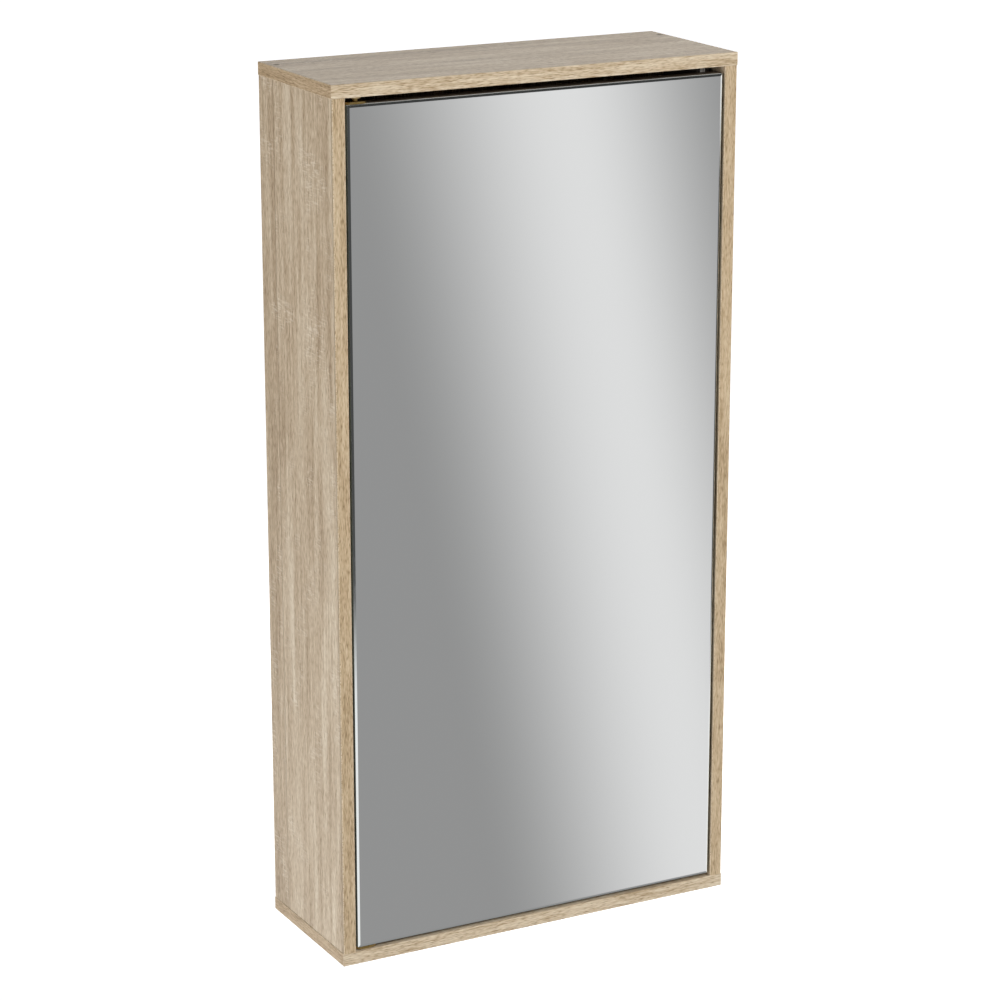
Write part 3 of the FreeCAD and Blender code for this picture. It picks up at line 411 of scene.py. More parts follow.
# How much of a face's normal lies along an axis when the face is square to it, or at least leans that way
SQUARE = 0.99
LEANING = 0.3


def finished(name, mesh, body, node, slot):
    """Show a mesh as a piece that stands for a node and moves with its body."""
    piece = bpy.data.objects.new(name, mesh)
    bpy.context.scene.collection.objects.link(piece)
    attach(piece, body)
    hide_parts(node)


def merged(node):
    """A copy of a node's mesh as one closed surface, without the lines across its flat faces."""
    shape = bmesh.new()
    shape.from_mesh(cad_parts[node].data)
    bmesh.ops.remove_doubles(shape, verts=shape.verts, dist=SAME_POINT)
    bmesh.ops.dissolve_limit(shape, angle_limit=FLAT_ANGLE, verts=shape.verts, edges=shape.edges)
    return shape


def islands(shape):
    """The separate solids of a mesh, as lists of points. Solids that only touch at a corner stay apart."""
    left = set(shape.faces)
    while left:
        found, rim = set(), {left.pop()}
        while rim:
            found |= rim
            edges = {edge for face in rim for edge in face.edges if len(edge.link_faces) == 2}
            rim = {face for edge in edges for face in edge.link_faces} - found
        left -= found
        yield [vertex.co.copy() for face in found for vertex in face.verts]


def box_of(points):
    """The low and the high corner of the box round some points."""
    low = Vector(min(p[axis] for p in points) for axis in range(3))
    high = Vector(max(p[axis] for p in points) for axis in range(3))
    return low, high


def written(shape, name, materials, smooth_below=None):
    """The bmesh as a mesh with its materials; edges flatter than the angle are shaded smooth."""
    mesh = bpy.data.meshes.new(name)
    shape.to_mesh(mesh)
    shape.free()
    if "custom_normal" in mesh.attributes:
        mesh.attributes.remove(mesh.attributes["custom_normal"])
    for material in materials:
        mesh.materials.append(material)
    if smooth_below is not None:
        mesh.shade_smooth()
        mesh.set_sharp_from_angle(angle=math.radians(smooth_below))
    else:
        mesh.shade_flat()
    return mesh


# Laminated boards

BOARD_ARRIS = 0.08 * MM
BOARDS = (
    # node, body, axis square to the printed faces, axis of the grain
    ("top_panel", "carcass", "z", "x"),
    ("bottom_panel", "carcass", "z", "x"),
    ("left_side_panel", "carcass", "x", "z"),
    ("right_side_panel", "carcass", "x", "z"),
    ("hanging_rail", "carcass", "y", "x"),
    ("lower_shelf", "carcass", "z", "x"),
    ("middle_shelf", "carcass", "z", "x"),
    ("upper_shelf", "carcass", "z", "x"),
    ("door_board", "door", "y", "z"),
)


def outer_edges(shape, low, high):
    """The straight edges along which two sides of the board's box meet."""
    found = []
    for edge in shape.edges:
        ends = [vertex.co for vertex in edge.verts]
        on_sides = sum(
            all(abs(end[axis] - side[axis]) < SAME_PLANE for end in ends)
            for axis in range(3) for side in (low, high)
        )
        if on_sides >= 2:
            found.append(edge)
    return found


def laminated_board(node, body, face_axis, grain):
    """A board with printed faces, sawn chipboard everywhere else and slightly broken edges."""
    shape = merged(node)
    low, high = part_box(node)
    bmesh.ops.bevel(shape, geom=outer_edges(shape, low, high), offset=BOARD_ARRIS, segments=2, profile=0.5,
                    affect="EDGES", clamp_overlap=False)
    square = AXES.index(face_axis)
    for face in shape.faces:
        middle = face.calc_center_median()
        to_face = min(abs(middle[square] - side[square]) for side in (low, high))
        printed = to_face < 2 * BOARD_ARRIS and abs(face.normal[square]) > LEANING
        face.material_index = 0 if printed else 1
    mesh = written(shape, f"{node}_laminated", (BOARD_FACE[grain], CHIPBOARD))
    finished(f"{node}_laminated", mesh, body, node, "oak_decor_board")


def back_sheet():
    """Hardboard sheet with the oak print on its front only."""
    shape = merged("back_panel")
    for face in shape.faces:
        face.material_index = 0 if face.normal.y < -SQUARE else 1
    mesh = written(shape, "back_panel_sheet", (BOARD_FACE["z"], HARDBOARD))
    finished("back_panel_sheet", mesh, "carcass", "back_panel", "hardboard")


# Edging strips

EDGING_ROUND = 0.5 * MM
EDGINGS = (
    # node, body, board behind it, print on each axis
    ("top_edging", "carcass", "top_panel", EDGING),
    ("bottom_edging", "carcass", "bottom_panel", EDGING),
    ("left_side_edging", "carcass", "left_side_panel", EDGING),
    ("right_side_edging", "carcass", "right_side_panel", EDGING),
    ("shelf_edging", "carcass", "middle_shelf", EDGING),
    # The door's strips carry painted shade
    ("door_edging", "door", "door_board", PAINTED_SHADE_EDGING),
)


def rounded_strip(shape, low, high, inside):
    """A strip whose long edges away from the board are rounded. inside is the middle of the board."""
    size = high - low
    thick = min(range(3), key=lambda axis: size[axis])
    long = max(range(3), key=lambda axis: size[axis])
    middle = (low + high) / 2
    outer = high[thick] if middle[thick] > inside[thick] else low[thick]
    made = bmesh.ops.create_cube(shape, size=1.0)["verts"]
    for vertex in made:
        vertex.co = middle + Vector(vertex.co[axis] * size[axis] for axis in range(3))
    edges = [
        edge for edge in {e for vertex in made for e in vertex.link_edges}
        if all(abs(vertex.co[thick] - outer) < SAME_PLANE for vertex in edge.verts)
        and abs(edge.verts[0].co[long] - edge.verts[1].co[long]) > size[long] / 2
    ]
    for face in {f for vertex in made for f in vertex.link_faces}:
        face.material_index = long
    bmesh.ops.bevel(shape, geom=edges, offset=EDGING_ROUND, segments=4, profile=0.5, affect="EDGES",
                    clamp_overlap=True)


def edging(node, body, board, prints):
    """All strips of a node, each printed along its length."""
    source = merged(node)
    low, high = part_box(board)
    inside = (low + high) / 2
    shape = bmesh.new()
    for strip in islands(source):
        rounded_strip(shape, *box_of(strip), inside)
    source.free()
    mesh = written(shape, f"{node}_strips", [prints[axis] for axis in AXES])
    finished(f"{node}_strips", mesh, body, node, "oak_edging")


# Mirror

def mirror():
    """Glass pane: silvered face, polished bevel, grey painted back, side edges in painted shade, top and
    bottom edges in a painted highlight.
    """
    shape = merged("mirror_pane")
    materials = (SILVER, BEVEL, SHADED_GLASS_EDGE, HIGHLIGHT_GLASS_EDGE, MIRROR_PAINT)
    for face in shape.faces:
        if face.normal.y < -SQUARE:
            material = SILVER
        elif face.normal.y < -LEANING:
            material = BEVEL
        elif face.normal.y > SQUARE:
            material = MIRROR_PAINT
        # Top and bottom edges get the painted highlight, the side edges the painted shade
        elif abs(face.normal.z) > SQUARE:
            material = HIGHLIGHT_GLASS_EDGE
        else:
            material = SHADED_GLASS_EDGE
        face.material_index = materials.index(material)
    mesh = written(shape, "mirror_glass", materials)
    finished("mirror_glass", mesh, "door", "mirror_pane", "mirror")


# Fittings whose edges are broken

SHARP_ANGLE = math.radians(35)
SMOOTH_BELOW = 40
HOUSING_ROUND = 0.4 * MM
# Width of the white patch that paints a highlight at the front top of the latch housing, and how far behind
# the front it still shows on the rounding
HIGHLIGHT_PATCH_WIDTH = 5 * MM
HIGHLIGHT_PATCH_REACH = 0.6 * MM
FITTINGS = (
    # node, name, body, slot, material, rounding
    ("hinge_angles", "hinge_angle_plates", "door", "brass", BRASS, 0.2 * MM),
    ("upper_pivot_pin", "upper_pin_round", "door", "brass", BRASS, 0.5 * MM),
    ("lower_pivot_pin", "lower_pin_round", "door", "brass", BRASS, 0.5 * MM),
    ("strike_plate", "strike_plate_punched", "door", "zinc_plated_steel", ZINC, 0.3 * MM),
    ("pivot_bushes", "pivot_bush_mouldings", "carcass", "nylon", NYLON, 0.25 * MM),
    ("latch_plunger", "latch_plunger_moulding", "plunger", "latch_plastic", LATCH_WHITE, 0.3 * MM),
    ("latch_magnet", "latch_magnet_disc", "plunger", "magnet", NICKEL, 0.3 * MM),
)
HIDDEN = {
    "mirror_tape": FOAM, "corner_biscuits": BEECH, "rail_biscuits": BEECH, "shelf_biscuits": BEECH,
}


def round_sharp(shape, width):
    """Round the sharp edges of a mesh a little."""
    sharp = [edge for edge in shape.edges if edge.is_manifold and edge.calc_face_angle(0) > SHARP_ANGLE]
    bmesh.ops.bevel(shape, geom=sharp, offset=width, segments=2, profile=0.5, affect="EDGES",
                    clamp_overlap=True)


def broken_edges(node, name, body, slot, material, width):
    """A copy of a node with all its sharp edges rounded a little."""
    shape = merged(node)
    round_sharp(shape, width)
    finished(name, written(shape, name, (material,), SMOOTH_BELOW), body, node, slot)


def latch_housing():
    """Dark moulded housing of the latch, with a white patch at its front top as a painted highlight."""
    shape = merged("latch_housing")
    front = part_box("latch_housing")[0].y
    round_sharp(shape, HOUSING_ROUND)
    plunger_low, plunger_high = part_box("latch_plunger")
    middle = (plunger_low.x + plunger_high.x) / 2
    for side in (-1, 1):
        bmesh.ops.bisect_plane(shape, geom=shape.verts[:] + shape.edges[:] + shape.faces[:],
                               plane_co=(middle + side * HIGHLIGHT_PATCH_WIDTH / 2, 0, 0), plane_no=(1, 0, 0))
    # The white patch at the front top paints a highlight
    for face in shape.faces:
        place = face.calc_center_median()
        in_front = place.y < front + HIGHLIGHT_PATCH_REACH and place.z > plunger_high.z
        face.material_index = 1 if in_front and abs(place.x - middle) < HIGHLIGHT_PATCH_WIDTH / 2 else 0
    mesh = written(shape, "latch_housing_moulding", (LATCH_DARK, LATCH_WHITE), SMOOTH_BELOW)
    finished("latch_housing_moulding", mesh, "carcass", "latch_housing", "latch_plastic")


for board in BOARDS:
    laminated_board(*board)
back_sheet()
for strip_set in EDGINGS:
    edging(*strip_set)
mirror()
latch_housing()
for fitting in FITTINGS:
    broken_edges(*fitting)
# Hidden pieces keep the shape they have, with their own material
for node, material in HIDDEN.items():
    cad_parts[node].data.materials[0] = material


# Parts that repeat, grown with Geometry Nodes

def growing_tree(name, sizes):
    """A tree that takes marks to stand on and named sizes."""
    tree = bpy.data.node_groups.new(name, "GeometryNodeTree")
    tree.interface.new_socket("Marks", in_out="INPUT", socket_type="NodeSocketGeometry")
    for size in sizes:
        tree.interface.new_socket(size, in_out="INPUT", socket_type="NodeSocketFloat")
    tree.interface.new_socket("Pieces", in_out="OUTPUT", socket_type="NodeSocketGeometry")
    return tree, add(tree, "NodeGroupInput").outputs


def stand_on_marks(tree, marks, parts, material):
    """Join the parts and put one copy on each mark, turned as the mark says."""
    whole = add(tree, "GeometryNodeJoinGeometry", {0: parts})
    turn = add(tree, "GeometryNodeInputNamedAttribute", {"Name": "turn"}, data_type="FLOAT_VECTOR")
    turn = add(tree, "FunctionNodeEulerToRotation", {0: turn.outputs[0]})
    copies = add(tree, "GeometryNodeInstanceOnPoints",
                 {"Points": marks, "Instance": whole.outputs[0], "Rotation": turn.outputs[0]})
    plain = add(tree, "GeometryNodeRealizeInstances", {0: copies.outputs[0]})
    painted = add(tree, "GeometryNodeSetMaterial", {"Geometry": plain.outputs[0], "Material": material})
    add(tree, "NodeGroupOutput", {0: painted.outputs[0]})


def grown(name, tree, sizes, marks, body, node, slot):
    """Grow the tree on its marks, keep the result as a plain mesh and show it in place of the node."""
    points = bpy.data.meshes.new(f"{name}_marks")
    points.from_pydata([place for place, turn in marks], [], [])
    turns = points.attributes.new("turn", "FLOAT_VECTOR", "POINT")
    for item, (place, turn) in zip(turns.data, marks):
        item.vector = turn
    seed = bpy.data.objects.new(f"{name}_marks", points)
    bpy.context.scene.collection.objects.link(seed)
    growth = seed.modifiers.new("growth", "NODES")
    growth.node_group = tree
    for socket in tree.interface.items_tree:
        if socket.name in sizes:
            growth[socket.identifier] = sizes[socket.name]
    mesh = bpy.data.meshes.new_from_object(seed.evaluated_get(bpy.context.evaluated_depsgraph_get()))
    mesh.name = name
    bpy.data.objects.remove(seed)
    mesh.shade_smooth()
    mesh.set_sharp_from_angle(angle=SHARP_ANGLE)
    finished(name, mesh, body, node, slot)


# Screws

# Cross recess: its length and width as shares of the head's radius, and twice its depth as a share of the
# head's height
RECESS_LENGTH = 0.95
RECESS_WIDTH = 0.22
RECESS_HEIGHT = 1.1
# Core radius and tip length as shares of the shank's diameter
CORE_SHARE = 0.36
TIP_SHARE = 1.2


def screw_sizes(head, shank, length, pitch):
    """Sizes of a screw from its diameters and its length."""
    height = (head - shank) / 2
    tip = TIP_SHARE * shank
    return {
        "Head Radius": head / 2,
        "Head Height": height,
        "Shank Radius": shank / 2,
        "Core Radius": CORE_SHARE * shank,
        "Core Length": length - height - tip,
        "Tip Length": tip,
        "Pitch": pitch,
    }


CARCASS_SCREW = screw_sizes(6 * MM, 3 * MM, 40 * MM, 1.6 * MM)
SMALL_SCREW = screw_sizes(5.2 * MM, 3 * MM, 9 * MM, 1.3 * MM)
HINGE_SCREW_SPACING = 14 * MM
HEAD_DOWN = (0, 0, 0)
HEAD_UP = (math.pi, 0, 0)
HEAD_TO_BACK = (math.pi / 2, 0, 0)
HEAD_TO_FRONT = (-math.pi / 2, 0, 0)


def screw_tree(name, material):
    """Countersunk screw with a cross recess. Its head's face is at z = 0 and its tip above."""
    # All screws have sizes of the same names
    tree, size = growing_tree(name, CARCASS_SCREW)
    head = add(tree, "GeometryNodeMeshCone",
               {"Vertices": 28, "Radius Top": size["Core Radius"], "Radius Bottom": size["Head Radius"],
                "Depth": size["Head Height"]})
    recess_long, recess_wide, recess_high = [
        add(tree, "ShaderNodeMath", {0: size[whole], 1: share}, operation="MULTIPLY").outputs[0]
        for whole, share in (
            ("Head Radius", RECESS_LENGTH), ("Head Radius", RECESS_WIDTH), ("Head Height", RECESS_HEIGHT))
    ]
    arms = []
    for along, across in ((recess_long, recess_wide), (recess_wide, recess_long)):
        block = add(tree, "ShaderNodeCombineXYZ", {0: along, 1: across, 2: recess_high})
        arms.append(add(tree, "GeometryNodeMeshCube", {"Size": block.outputs[0]}).outputs[0])
    cut = add(tree, "GeometryNodeMeshBoolean", {"Mesh 1": head.outputs[0], "Mesh 2": arms},
              operation="DIFFERENCE", solver="MANIFOLD")

    parts = [cut.outputs[0]]
    start = size["Head Height"]
    for radius, length in ((size["Core Radius"], size["Core Length"]), (0.0, size["Tip Length"])):
        rod = add(tree, "GeometryNodeMeshCone",
                  {"Vertices": 20, "Radius Top": radius, "Radius Bottom": size["Core Radius"],
                   "Depth": length})
        lift = add(tree, "ShaderNodeCombineXYZ", {2: start})
        parts.append(add(tree, "GeometryNodeTransform",
                         {"Geometry": rod.outputs[0], "Translation": lift.outputs[0]}).outputs[0])
        start = add(tree, "ShaderNodeMath", {0: start, 1: length}, operation="ADD").outputs[0]

    ridge = add(tree, "ShaderNodeMath", {0: size["Shank Radius"], 1: size["Core Radius"]},
                operation="SUBTRACT").outputs[0]
    ridge = add(tree, "ShaderNodeMath", {0: ridge, 1: 0.5}, operation="MULTIPLY").outputs[0]
    path = add(tree, "ShaderNodeMath", {0: size["Core Radius"], 1: ridge}, operation="ADD").outputs[0]
    turns = add(tree, "ShaderNodeMath", {0: size["Core Length"], 1: size["Pitch"]},
                operation="DIVIDE").outputs[0]
    spiral = add(tree, "GeometryNodeCurveSpiral",
                 {"Resolution": 12, "Rotations": turns, "Start Radius": path, "End Radius": path,
                  "Height": size["Core Length"]})
    profile = add(tree, "GeometryNodeCurvePrimitiveCircle", {"Resolution": 5, "Radius": ridge})
    thread = add(tree, "GeometryNodeCurveToMesh",
                 {"Curve": spiral.outputs[0], "Profile Curve": profile.outputs[0], "Fill Caps": True})
    lift = add(tree, "ShaderNodeCombineXYZ", {2: size["Head Height"]})
    parts.append(add(tree, "GeometryNodeTransform",
                     {"Geometry": thread.outputs[0], "Translation": lift.outputs[0]}).outputs[0])
    stand_on_marks(tree, size["Marks"], parts, material)
    return tree


def carcass_screws():
    """Two screws down through the top panel and two up through the bottom panel."""
    low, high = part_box("carcass_screws")
    inset = CARCASS_SCREW["Head Radius"]
    row = (low.y + high.y) / 2
    marks = [
        ((across, row, height), turn)
        for across in (low.x + inset, high.x - inset)
        for height, turn in ((high.z, HEAD_UP), (low.z, HEAD_DOWN))
    ]
    tree = screw_tree("olive_wood_screw", DULL_ZINC)
    grown("carcass_wood_screws", tree, CARCASS_SCREW, marks, "carcass", "carcass_screws",
          "zinc_plated_steel")


def latch_screws():
    """Two screws up through the flange of the latch."""
    low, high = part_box("latch_screws")
    inset = SMALL_SCREW["Head Radius"]
    marks = [(((low.x + high.x) / 2, row, low.z), HEAD_DOWN) for row in (low.y + inset, high.y - inset)]
    tree = screw_tree("zinc_wood_screw", ZINC)
    grown("latch_wood_screws", tree, SMALL_SCREW, marks, "carcass", "latch_screws", "zinc_plated_steel")


def hinge_screws():
    """Two screws through each hinge angle, from behind the door."""
    low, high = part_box("hinge_screws")
    lowest = low.z + SMALL_SCREW["Head Radius"]
    highest = high.z - SMALL_SCREW["Head Radius"]
    heights = (lowest, lowest + HINGE_SCREW_SPACING, highest - HINGE_SCREW_SPACING, highest)
    marks = [(((low.x + high.x) / 2, high.y, height), HEAD_TO_BACK) for height in heights]
    tree = screw_tree("brass_wood_screw", BRASS)
    grown("hinge_wood_screws", tree, SMALL_SCREW, marks, "door", "hinge_screws", "brass")


# Shelf supports

SUPPORT = {
    "Sheet": 1.5 * MM,
    "Width": 12 * MM,
    "Reach": 9 * MM,
    "Height": 13 * MM,
    "Bend": 2 * MM,
    "Pin Radius": 2.5 * MM,
    "Pin Length": 8 * MM,
    "Pin Drop": 7 * MM,
}


def support_tree():
    """Shelf support: a bent sheet with a tongue along +X, under the shelf at z = 0, and a pin along -X."""
    tree, size = growing_tree("shelf_support", SUPPORT)
    # Three points, numbered from the foot over the bend to the end of the tongue
    half = add(tree, "ShaderNodeMath", {0: size["Sheet"], 1: 0.5}, operation="MULTIPLY").outputs[0]
    number = add(tree, "GeometryNodeInputIndex").outputs[0]
    at_tongue = add(tree, "ShaderNodeMath", {0: number, 1: 1.5}, operation="GREATER_THAN").outputs[0]
    at_foot = add(tree, "ShaderNodeMath", {0: number, 1: 0.5}, operation="LESS_THAN").outputs[0]
    out = add(tree, "ShaderNodeMix", {0: at_tongue, 2: half, 3: size["Reach"]}).outputs[0]
    down = add(tree, "ShaderNodeMix", {0: at_foot, 2: half, 3: size["Height"]}).outputs[0]
    down = add(tree, "ShaderNodeMath", {0: down, 1: -1}, operation="MULTIPLY").outputs[0]
    corner = add(tree, "ShaderNodeCombineXYZ", {0: out, 2: down})
    corners = add(tree, "GeometryNodePoints", {"Count": 3, "Position": corner.outputs[0]})
    line = add(tree, "GeometryNodePointsToCurves", {0: corners.outputs[0]})
    bent = add(tree, "GeometryNodeFilletCurve",
               {"Curve": line.outputs[0], "Radius": size["Bend"], "Count": 5}, mode="POLY")
    section = add(tree, "GeometryNodeCurvePrimitiveQuadrilateral",
                  {"Width": size["Sheet"], "Height": size["Width"]})
    sheet = add(tree, "GeometryNodeCurveToMesh",
                {"Curve": bent.outputs[0], "Profile Curve": section.outputs[0], "Fill Caps": True})

    pin = add(tree, "GeometryNodeMeshCone",
              {"Vertices": 24, "Radius Top": size["Pin Radius"], "Radius Bottom": size["Pin Radius"],
               "Depth": size["Pin Length"]})
    drop = add(tree, "ShaderNodeMath", {0: size["Pin Drop"], 1: -1}, operation="MULTIPLY").outputs[0]
    place = add(tree, "ShaderNodeCombineXYZ", {2: drop})
    turned = add(tree, "GeometryNodeTransform",
                 {"Geometry": pin.outputs[0], "Translation": place.outputs[0],
                  "Rotation": (0, -math.pi / 2, 0)})
    stand_on_marks(tree, size["Marks"], [sheet.outputs[0], turned.outputs[0]], ZINC)
    return tree


def shelf_supports():
    """Four supports under the loose shelf, two in each side panel."""
    low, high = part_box("shelf_supports")
    wall = high.x - SUPPORT["Pin Length"]
    inset = SUPPORT["Width"] / 2
    marks = [
        ((side * wall, row, high.z), (0, 0, turn))
        for side, turn in ((-1, 0), (1, math.pi))
        for row in (low.y + inset, high.y - inset)
    ]
    tree = support_tree()
    grown("shelf_support_angles", tree, SUPPORT, marks, "carcass", "shelf_supports", "zinc_plated_steel")


# Latch spring

SPRING_WIRE = 0.9 * MM
SPRING_TURNS = 8.0


def latch_spring():
    """Coil spring in the latch, in the place of the sleeve that stands for it."""
    low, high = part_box("latch_spring")
    sizes = {
        "Path Radius": (high.x - low.x - SPRING_WIRE) / 2,
        "Wire Radius": SPRING_WIRE / 2,
        "Turns": SPRING_TURNS,
        "Length": high.y - low.y - SPRING_WIRE,
        "Start": SPRING_WIRE / 2,
    }
    tree, size = growing_tree("coil_spring", sizes)
    spiral = add(tree, "GeometryNodeCurveSpiral",
                 {"Resolution": 20, "Rotations": size["Turns"], "Start Radius": size["Path Radius"],
                  "End Radius": size["Path Radius"], "Height": size["Length"]})
    section = add(tree, "GeometryNodeCurvePrimitiveCircle", {"Resolution": 8, "Radius": size["Wire Radius"]})
    coil = add(tree, "GeometryNodeCurveToMesh",
               {"Curve": spiral.outputs[0], "Profile Curve": section.outputs[0], "Fill Caps": True})
    lift = add(tree, "ShaderNodeCombineXYZ", {2: size["Start"]})
    raised = add(tree, "GeometryNodeTransform",
                 {"Geometry": coil.outputs[0], "Translation": lift.outputs[0]})
    stand_on_marks(tree, size["Marks"], [raised.outputs[0]], SPRING_STEEL)
    marks = [(((low.x + high.x) / 2, low.y, (low.z + high.z) / 2), HEAD_TO_FRONT)]
    grown("latch_coil_spring", tree, sizes, marks, "carcass", "latch_spring", "spring_steel")


carcass_screws()
latch_screws()
hinge_screws()
shelf_supports()
latch_spring()


# Stage: floor, light, world and camera

FLOOR_DROP = 1.1
FLOOR_REACH = 40.0
# The floor's own glow is low round the object, so that the shadow shows, and grows with the distance
FLOOR_GLOW_NEAR = 0.15
FLOOR_GLOW_FAR = 0.95
FLOOR_GLOW_FROM = 2.0
FLOOR_GLOW_TO = 5.0

LAMPS = (
    # name, place, width in metres, watts
    ("key_light", (2.0, -3.5, 2.0), 2.4, 152),
    ("side_light", (-4.0, -1.2, -0.5), 2.6, 109),
    ("rear_light", (3.0, 3.2, 0.4), 2.6, 110),
)
# The even light that the surroundings throw on dull surfaces
SOFT_LIGHT = 0.17

# What mirrors see. Angles are in degrees: the turn from -Y towards +X, and the rise over the horizon.
# In front is a grey wall with a bright panel: its turn, its lean, and how far it glows to each side
PANEL_TURN = 27.5
PANEL_LEAN = -0.2
PANEL_REACH = (-4.2, 3.2)
PANEL_GLOW = 0.76
WALL_GLOW = 0.30
# The front wall fades out between these turns away from the panel
FRONT_REACH = (28, 40)
# The front floor is as grey as the wall, and the front ceiling is dark
FRONT_FLOOR = (-26, -32)
FRONT_CEILING = (12, 20)
CEILING_GLOW = 0.05
# Elsewhere a bright floor meets a dark skirting
ROOM_FLOOR = (-20, -17.5)
ROOM_FLOOR_GLOW = 0.95
SKIRTING_GLOW = 0.07
# Over the skirting the right wall is bright and the rear wall a little less
SKIRTING_TOP = (-10.6, -9.2)
RIGHT_WALL_START = (30, 60)
RIGHT_WALL_GLOW = 0.9
REAR_WALL_START = (75, 110)
REAR_WALL_GLOW = 0.7

CAMERA_PLACE = (-1.3577, -2.6142, 0.4730)
CAMERA_TILT = 73.766
CAMERA_TURN = -28.133
FOCAL_LENGTH = 117.74
SENSOR_WIDTH = 36.0


def pale_floor():
    """A large pale floor far below, as under a cabinet on a wall. Mirrors see the room in its place."""
    height = cad_box[0].z - FLOOR_DROP
    corners = [
        (side * FLOOR_REACH, end * FLOOR_REACH, height)
        for side, end in ((-1, -1), (1, -1), (1, 1), (-1, 1))
    ]
    mesh = bpy.data.meshes.new("pale_floor")
    mesh.from_pydata(corners, [], [(0, 1, 2, 3)])
    material, tree, shader = new_material("pale_floor", {"Base Color": linear("#F2F2F2"), "Roughness": 0.9})
    place = add(tree, "ShaderNodeTexCoord").outputs["Object"]
    away = add(tree, "ShaderNodeVectorMath", {0: place}, operation="LENGTH").outputs["Value"]
    glow = add(tree, "ShaderNodeMapRange",
               {"Value": away, "From Min": FLOOR_GLOW_FROM, "From Max": FLOOR_GLOW_TO,
                "To Min": FLOOR_GLOW_NEAR, "To Max": FLOOR_GLOW_FAR}).outputs[0]
    camera_ray = add(tree, "ShaderNodeLightPath").outputs["Is Camera Ray"]
    glow = add(tree, "ShaderNodeMath", {0: glow, 1: camera_ray}, operation="MULTIPLY").outputs[0]
    lift = add(tree, "ShaderNodeEmission", {"Strength": glow})
    both = add(tree, "ShaderNodeAddShader", {0: shader.outputs[0], 1: lift.outputs[0]})
    tree.links.new(both.outputs[0], tree.nodes["Material Output"].inputs["Surface"])
    mesh.materials.append(material)
    floor = bpy.data.objects.new("pale_floor", mesh)
    floor.visible_glossy = False
    bpy.context.scene.collection.objects.link(floor)


def soft_box(name, place, width, watts):
    """A square lamp that looks at the middle of the cabinet and that mirrors don't see."""
    light = bpy.data.lights.new(name, "AREA")
    light.shape = "SQUARE"
    light.size = width
    light.energy = watts
    lamp = bpy.data.objects.new(name, light)
    lamp.location = place
    middle = (cad_box[0] + cad_box[1]) / 2
    lamp.rotation_euler = (middle - Vector(place)).to_track_quat("-Z", "Y").to_euler()
    lamp.visible_glossy = False
    bpy.context.scene.collection.objects.link(lamp)


def front_glow(tree, turn, rise):
    """The front wall with its bright panel, its floor and its ceiling."""
    panel_turn = add(tree, "ShaderNodeMath", {0: rise, 1: PANEL_LEAN, 2: PANEL_TURN},
                     operation="MULTIPLY_ADD").outputs[0]
    off_panel = add(tree, "ShaderNodeMath", {0: turn, 1: panel_turn}, operation="SUBTRACT").outputs[0]
    share = 1.0
    for reach in PANEL_REACH:
        side = add(tree, "ShaderNodeMapRange", {"Value": off_panel, "From Min": reach, "From Max": 0},
                   interpolation_type="SMOOTHSTEP").outputs[0]
        share = add(tree, "ShaderNodeMath", {0: side, 1: share}, operation="MULTIPLY").outputs[0]
    glow = add(tree, "ShaderNodeMix", {0: share, 2: WALL_GLOW, 3: PANEL_GLOW}).outputs[0]
    for (edge, full), part_glow in ((FRONT_FLOOR, WALL_GLOW), (FRONT_CEILING, CEILING_GLOW)):
        there = add(tree, "ShaderNodeMapRange", {"Value": rise, "From Min": edge, "From Max": full},
                    interpolation_type="SMOOTHSTEP").outputs[0]
        glow = add(tree, "ShaderNodeMix", {0: there, 2: glow, 3: part_glow}).outputs[0]
    return glow


def side_glow(tree, turn, rise):
    """The room beside and behind: floor, skirting, right wall and rear wall."""
    below = add(tree, "ShaderNodeMapRange",
                {"Value": rise, "From Min": ROOM_FLOOR[0], "From Max": ROOM_FLOOR[1],
                 "To Min": ROOM_FLOOR_GLOW, "To Max": SKIRTING_GLOW},
                interpolation_type="SMOOTHSTEP").outputs[0]
    wall = add(tree, "ShaderNodeMapRange",
               {"Value": turn, "From Min": REAR_WALL_START[0], "From Max": REAR_WALL_START[1],
                "To Min": RIGHT_WALL_GLOW, "To Max": REAR_WALL_GLOW}).outputs[0]
    to_right = add(tree, "ShaderNodeMapRange",
                   {"Value": turn, "From Min": RIGHT_WALL_START[0], "From Max": RIGHT_WALL_START[1]},
                   interpolation_type="SMOOTHSTEP").outputs[0]
    above = add(tree, "ShaderNodeMapRange",
                {"Value": rise, "From Min": SKIRTING_TOP[0], "From Max": SKIRTING_TOP[1]}).outputs[0]
    wall = add(tree, "ShaderNodeMath", {0: wall, 1: to_right}, operation="MULTIPLY").outputs[0]
    return add(tree, "ShaderNodeMath", {0: wall, 1: above, 2: below}, operation="MULTIPLY_ADD").outputs[0]


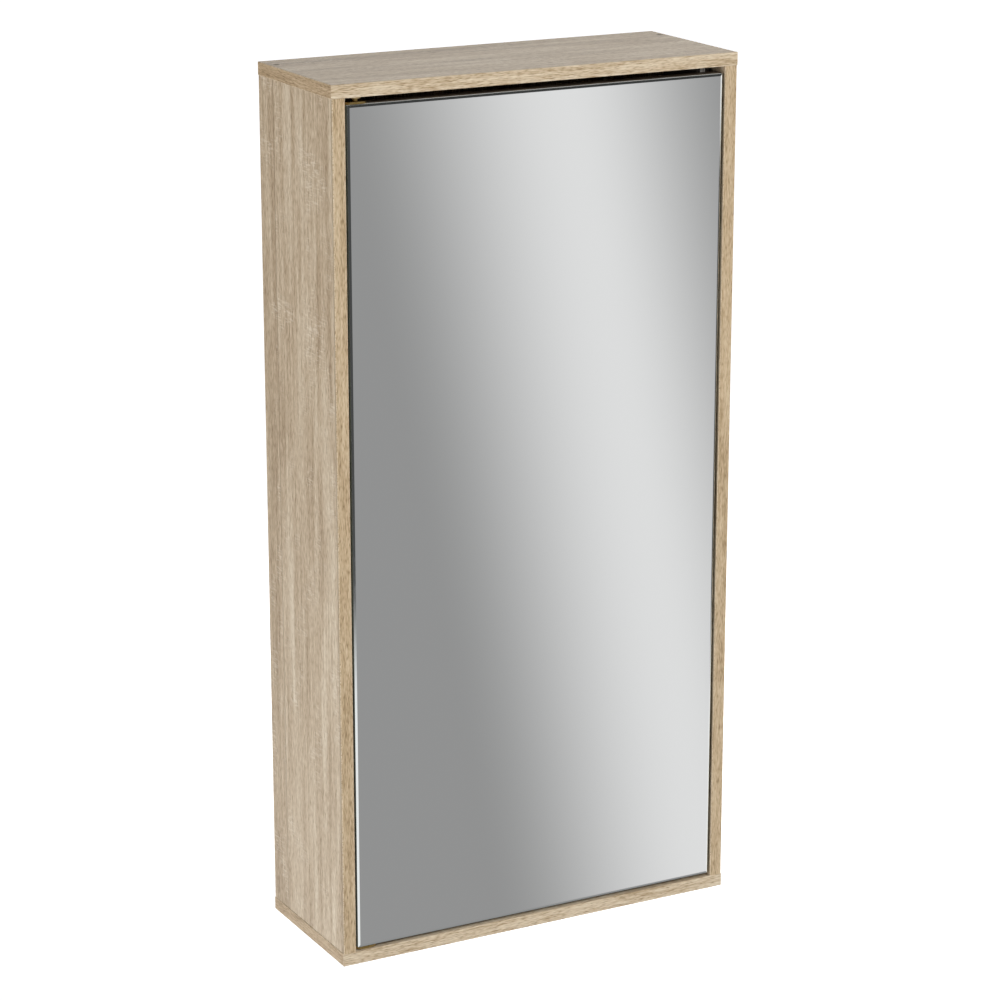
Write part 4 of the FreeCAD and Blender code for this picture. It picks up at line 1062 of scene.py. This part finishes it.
def room_glow():
    """White behind the object, even soft light on it, and a grey studio for what mirrors see."""
    world = bpy.data.worlds.new("studio")
    bpy.context.scene.world = world
    world.use_nodes = True
    tree = world.node_tree
    direction = add(tree, "ShaderNodeSeparateXYZ", {0: add(tree, "ShaderNodeTexCoord").outputs["Generated"]})
    ahead = add(tree, "ShaderNodeMath", {0: direction.outputs[1], 1: -1}, operation="MULTIPLY").outputs[0]
    turn = add(tree, "ShaderNodeMath", {0: direction.outputs[0], 1: ahead}, operation="ARCTAN2").outputs[0]
    turn = add(tree, "ShaderNodeMath", {0: turn}, operation="DEGREES").outputs[0]
    rise = add(tree, "ShaderNodeMath", {0: direction.outputs[2]}, operation="ARCSINE").outputs[0]
    rise = add(tree, "ShaderNodeMath", {0: rise}, operation="DEGREES").outputs[0]

    off_front = add(tree, "ShaderNodeMath", {0: turn, 1: PANEL_TURN}, operation="SUBTRACT").outputs[0]
    off_front = add(tree, "ShaderNodeMath", {0: off_front}, operation="ABSOLUTE").outputs[0]
    in_front = add(tree, "ShaderNodeMapRange",
                   {"Value": off_front, "From Min": FRONT_REACH[0], "From Max": FRONT_REACH[1],
                    "To Min": 1, "To Max": 0},
                   interpolation_type="SMOOTHSTEP").outputs[0]
    studio = add(tree, "ShaderNodeMix",
                 {0: in_front, 2: side_glow(tree, turn, rise), 3: front_glow(tree, turn, rise)}).outputs[0]

    ray = add(tree, "ShaderNodeLightPath").outputs
    mirrored = add(tree, "ShaderNodeMath", {0: ray["Is Glossy Ray"], 1: ray["Is Transmission Ray"]},
                   operation="MAXIMUM").outputs[0]
    strength = add(tree, "ShaderNodeMix", {0: mirrored, 2: SOFT_LIGHT, 3: studio}).outputs[0]
    strength = add(tree, "ShaderNodeMix", {0: ray["Is Camera Ray"], 2: strength, 3: 1.0}).outputs[0]
    tree.links.new(strength, tree.nodes["Background"].inputs["Strength"])
    tree.nodes["Background"].inputs["Color"].default_value = linear("#FFFFFF")


def camera():
    """The photograph's viewpoint: to the left, a little above, with a long lens."""
    lens = bpy.data.cameras.new("camera")
    lens.sensor_width = SENSOR_WIDTH
    lens.lens = FOCAL_LENGTH
    viewer = bpy.data.objects.new("camera", lens)
    viewer.location = CAMERA_PLACE
    viewer.rotation_euler = (math.radians(CAMERA_TILT), 0, math.radians(CAMERA_TURN))
    bpy.context.scene.collection.objects.link(viewer)
    bpy.context.scene.camera = viewer


pale_floor()
for lamp in LAMPS:
    soft_box(*lamp)
room_glow()
camera()
bpy.context.scene.view_settings.view_transform = "Standard"
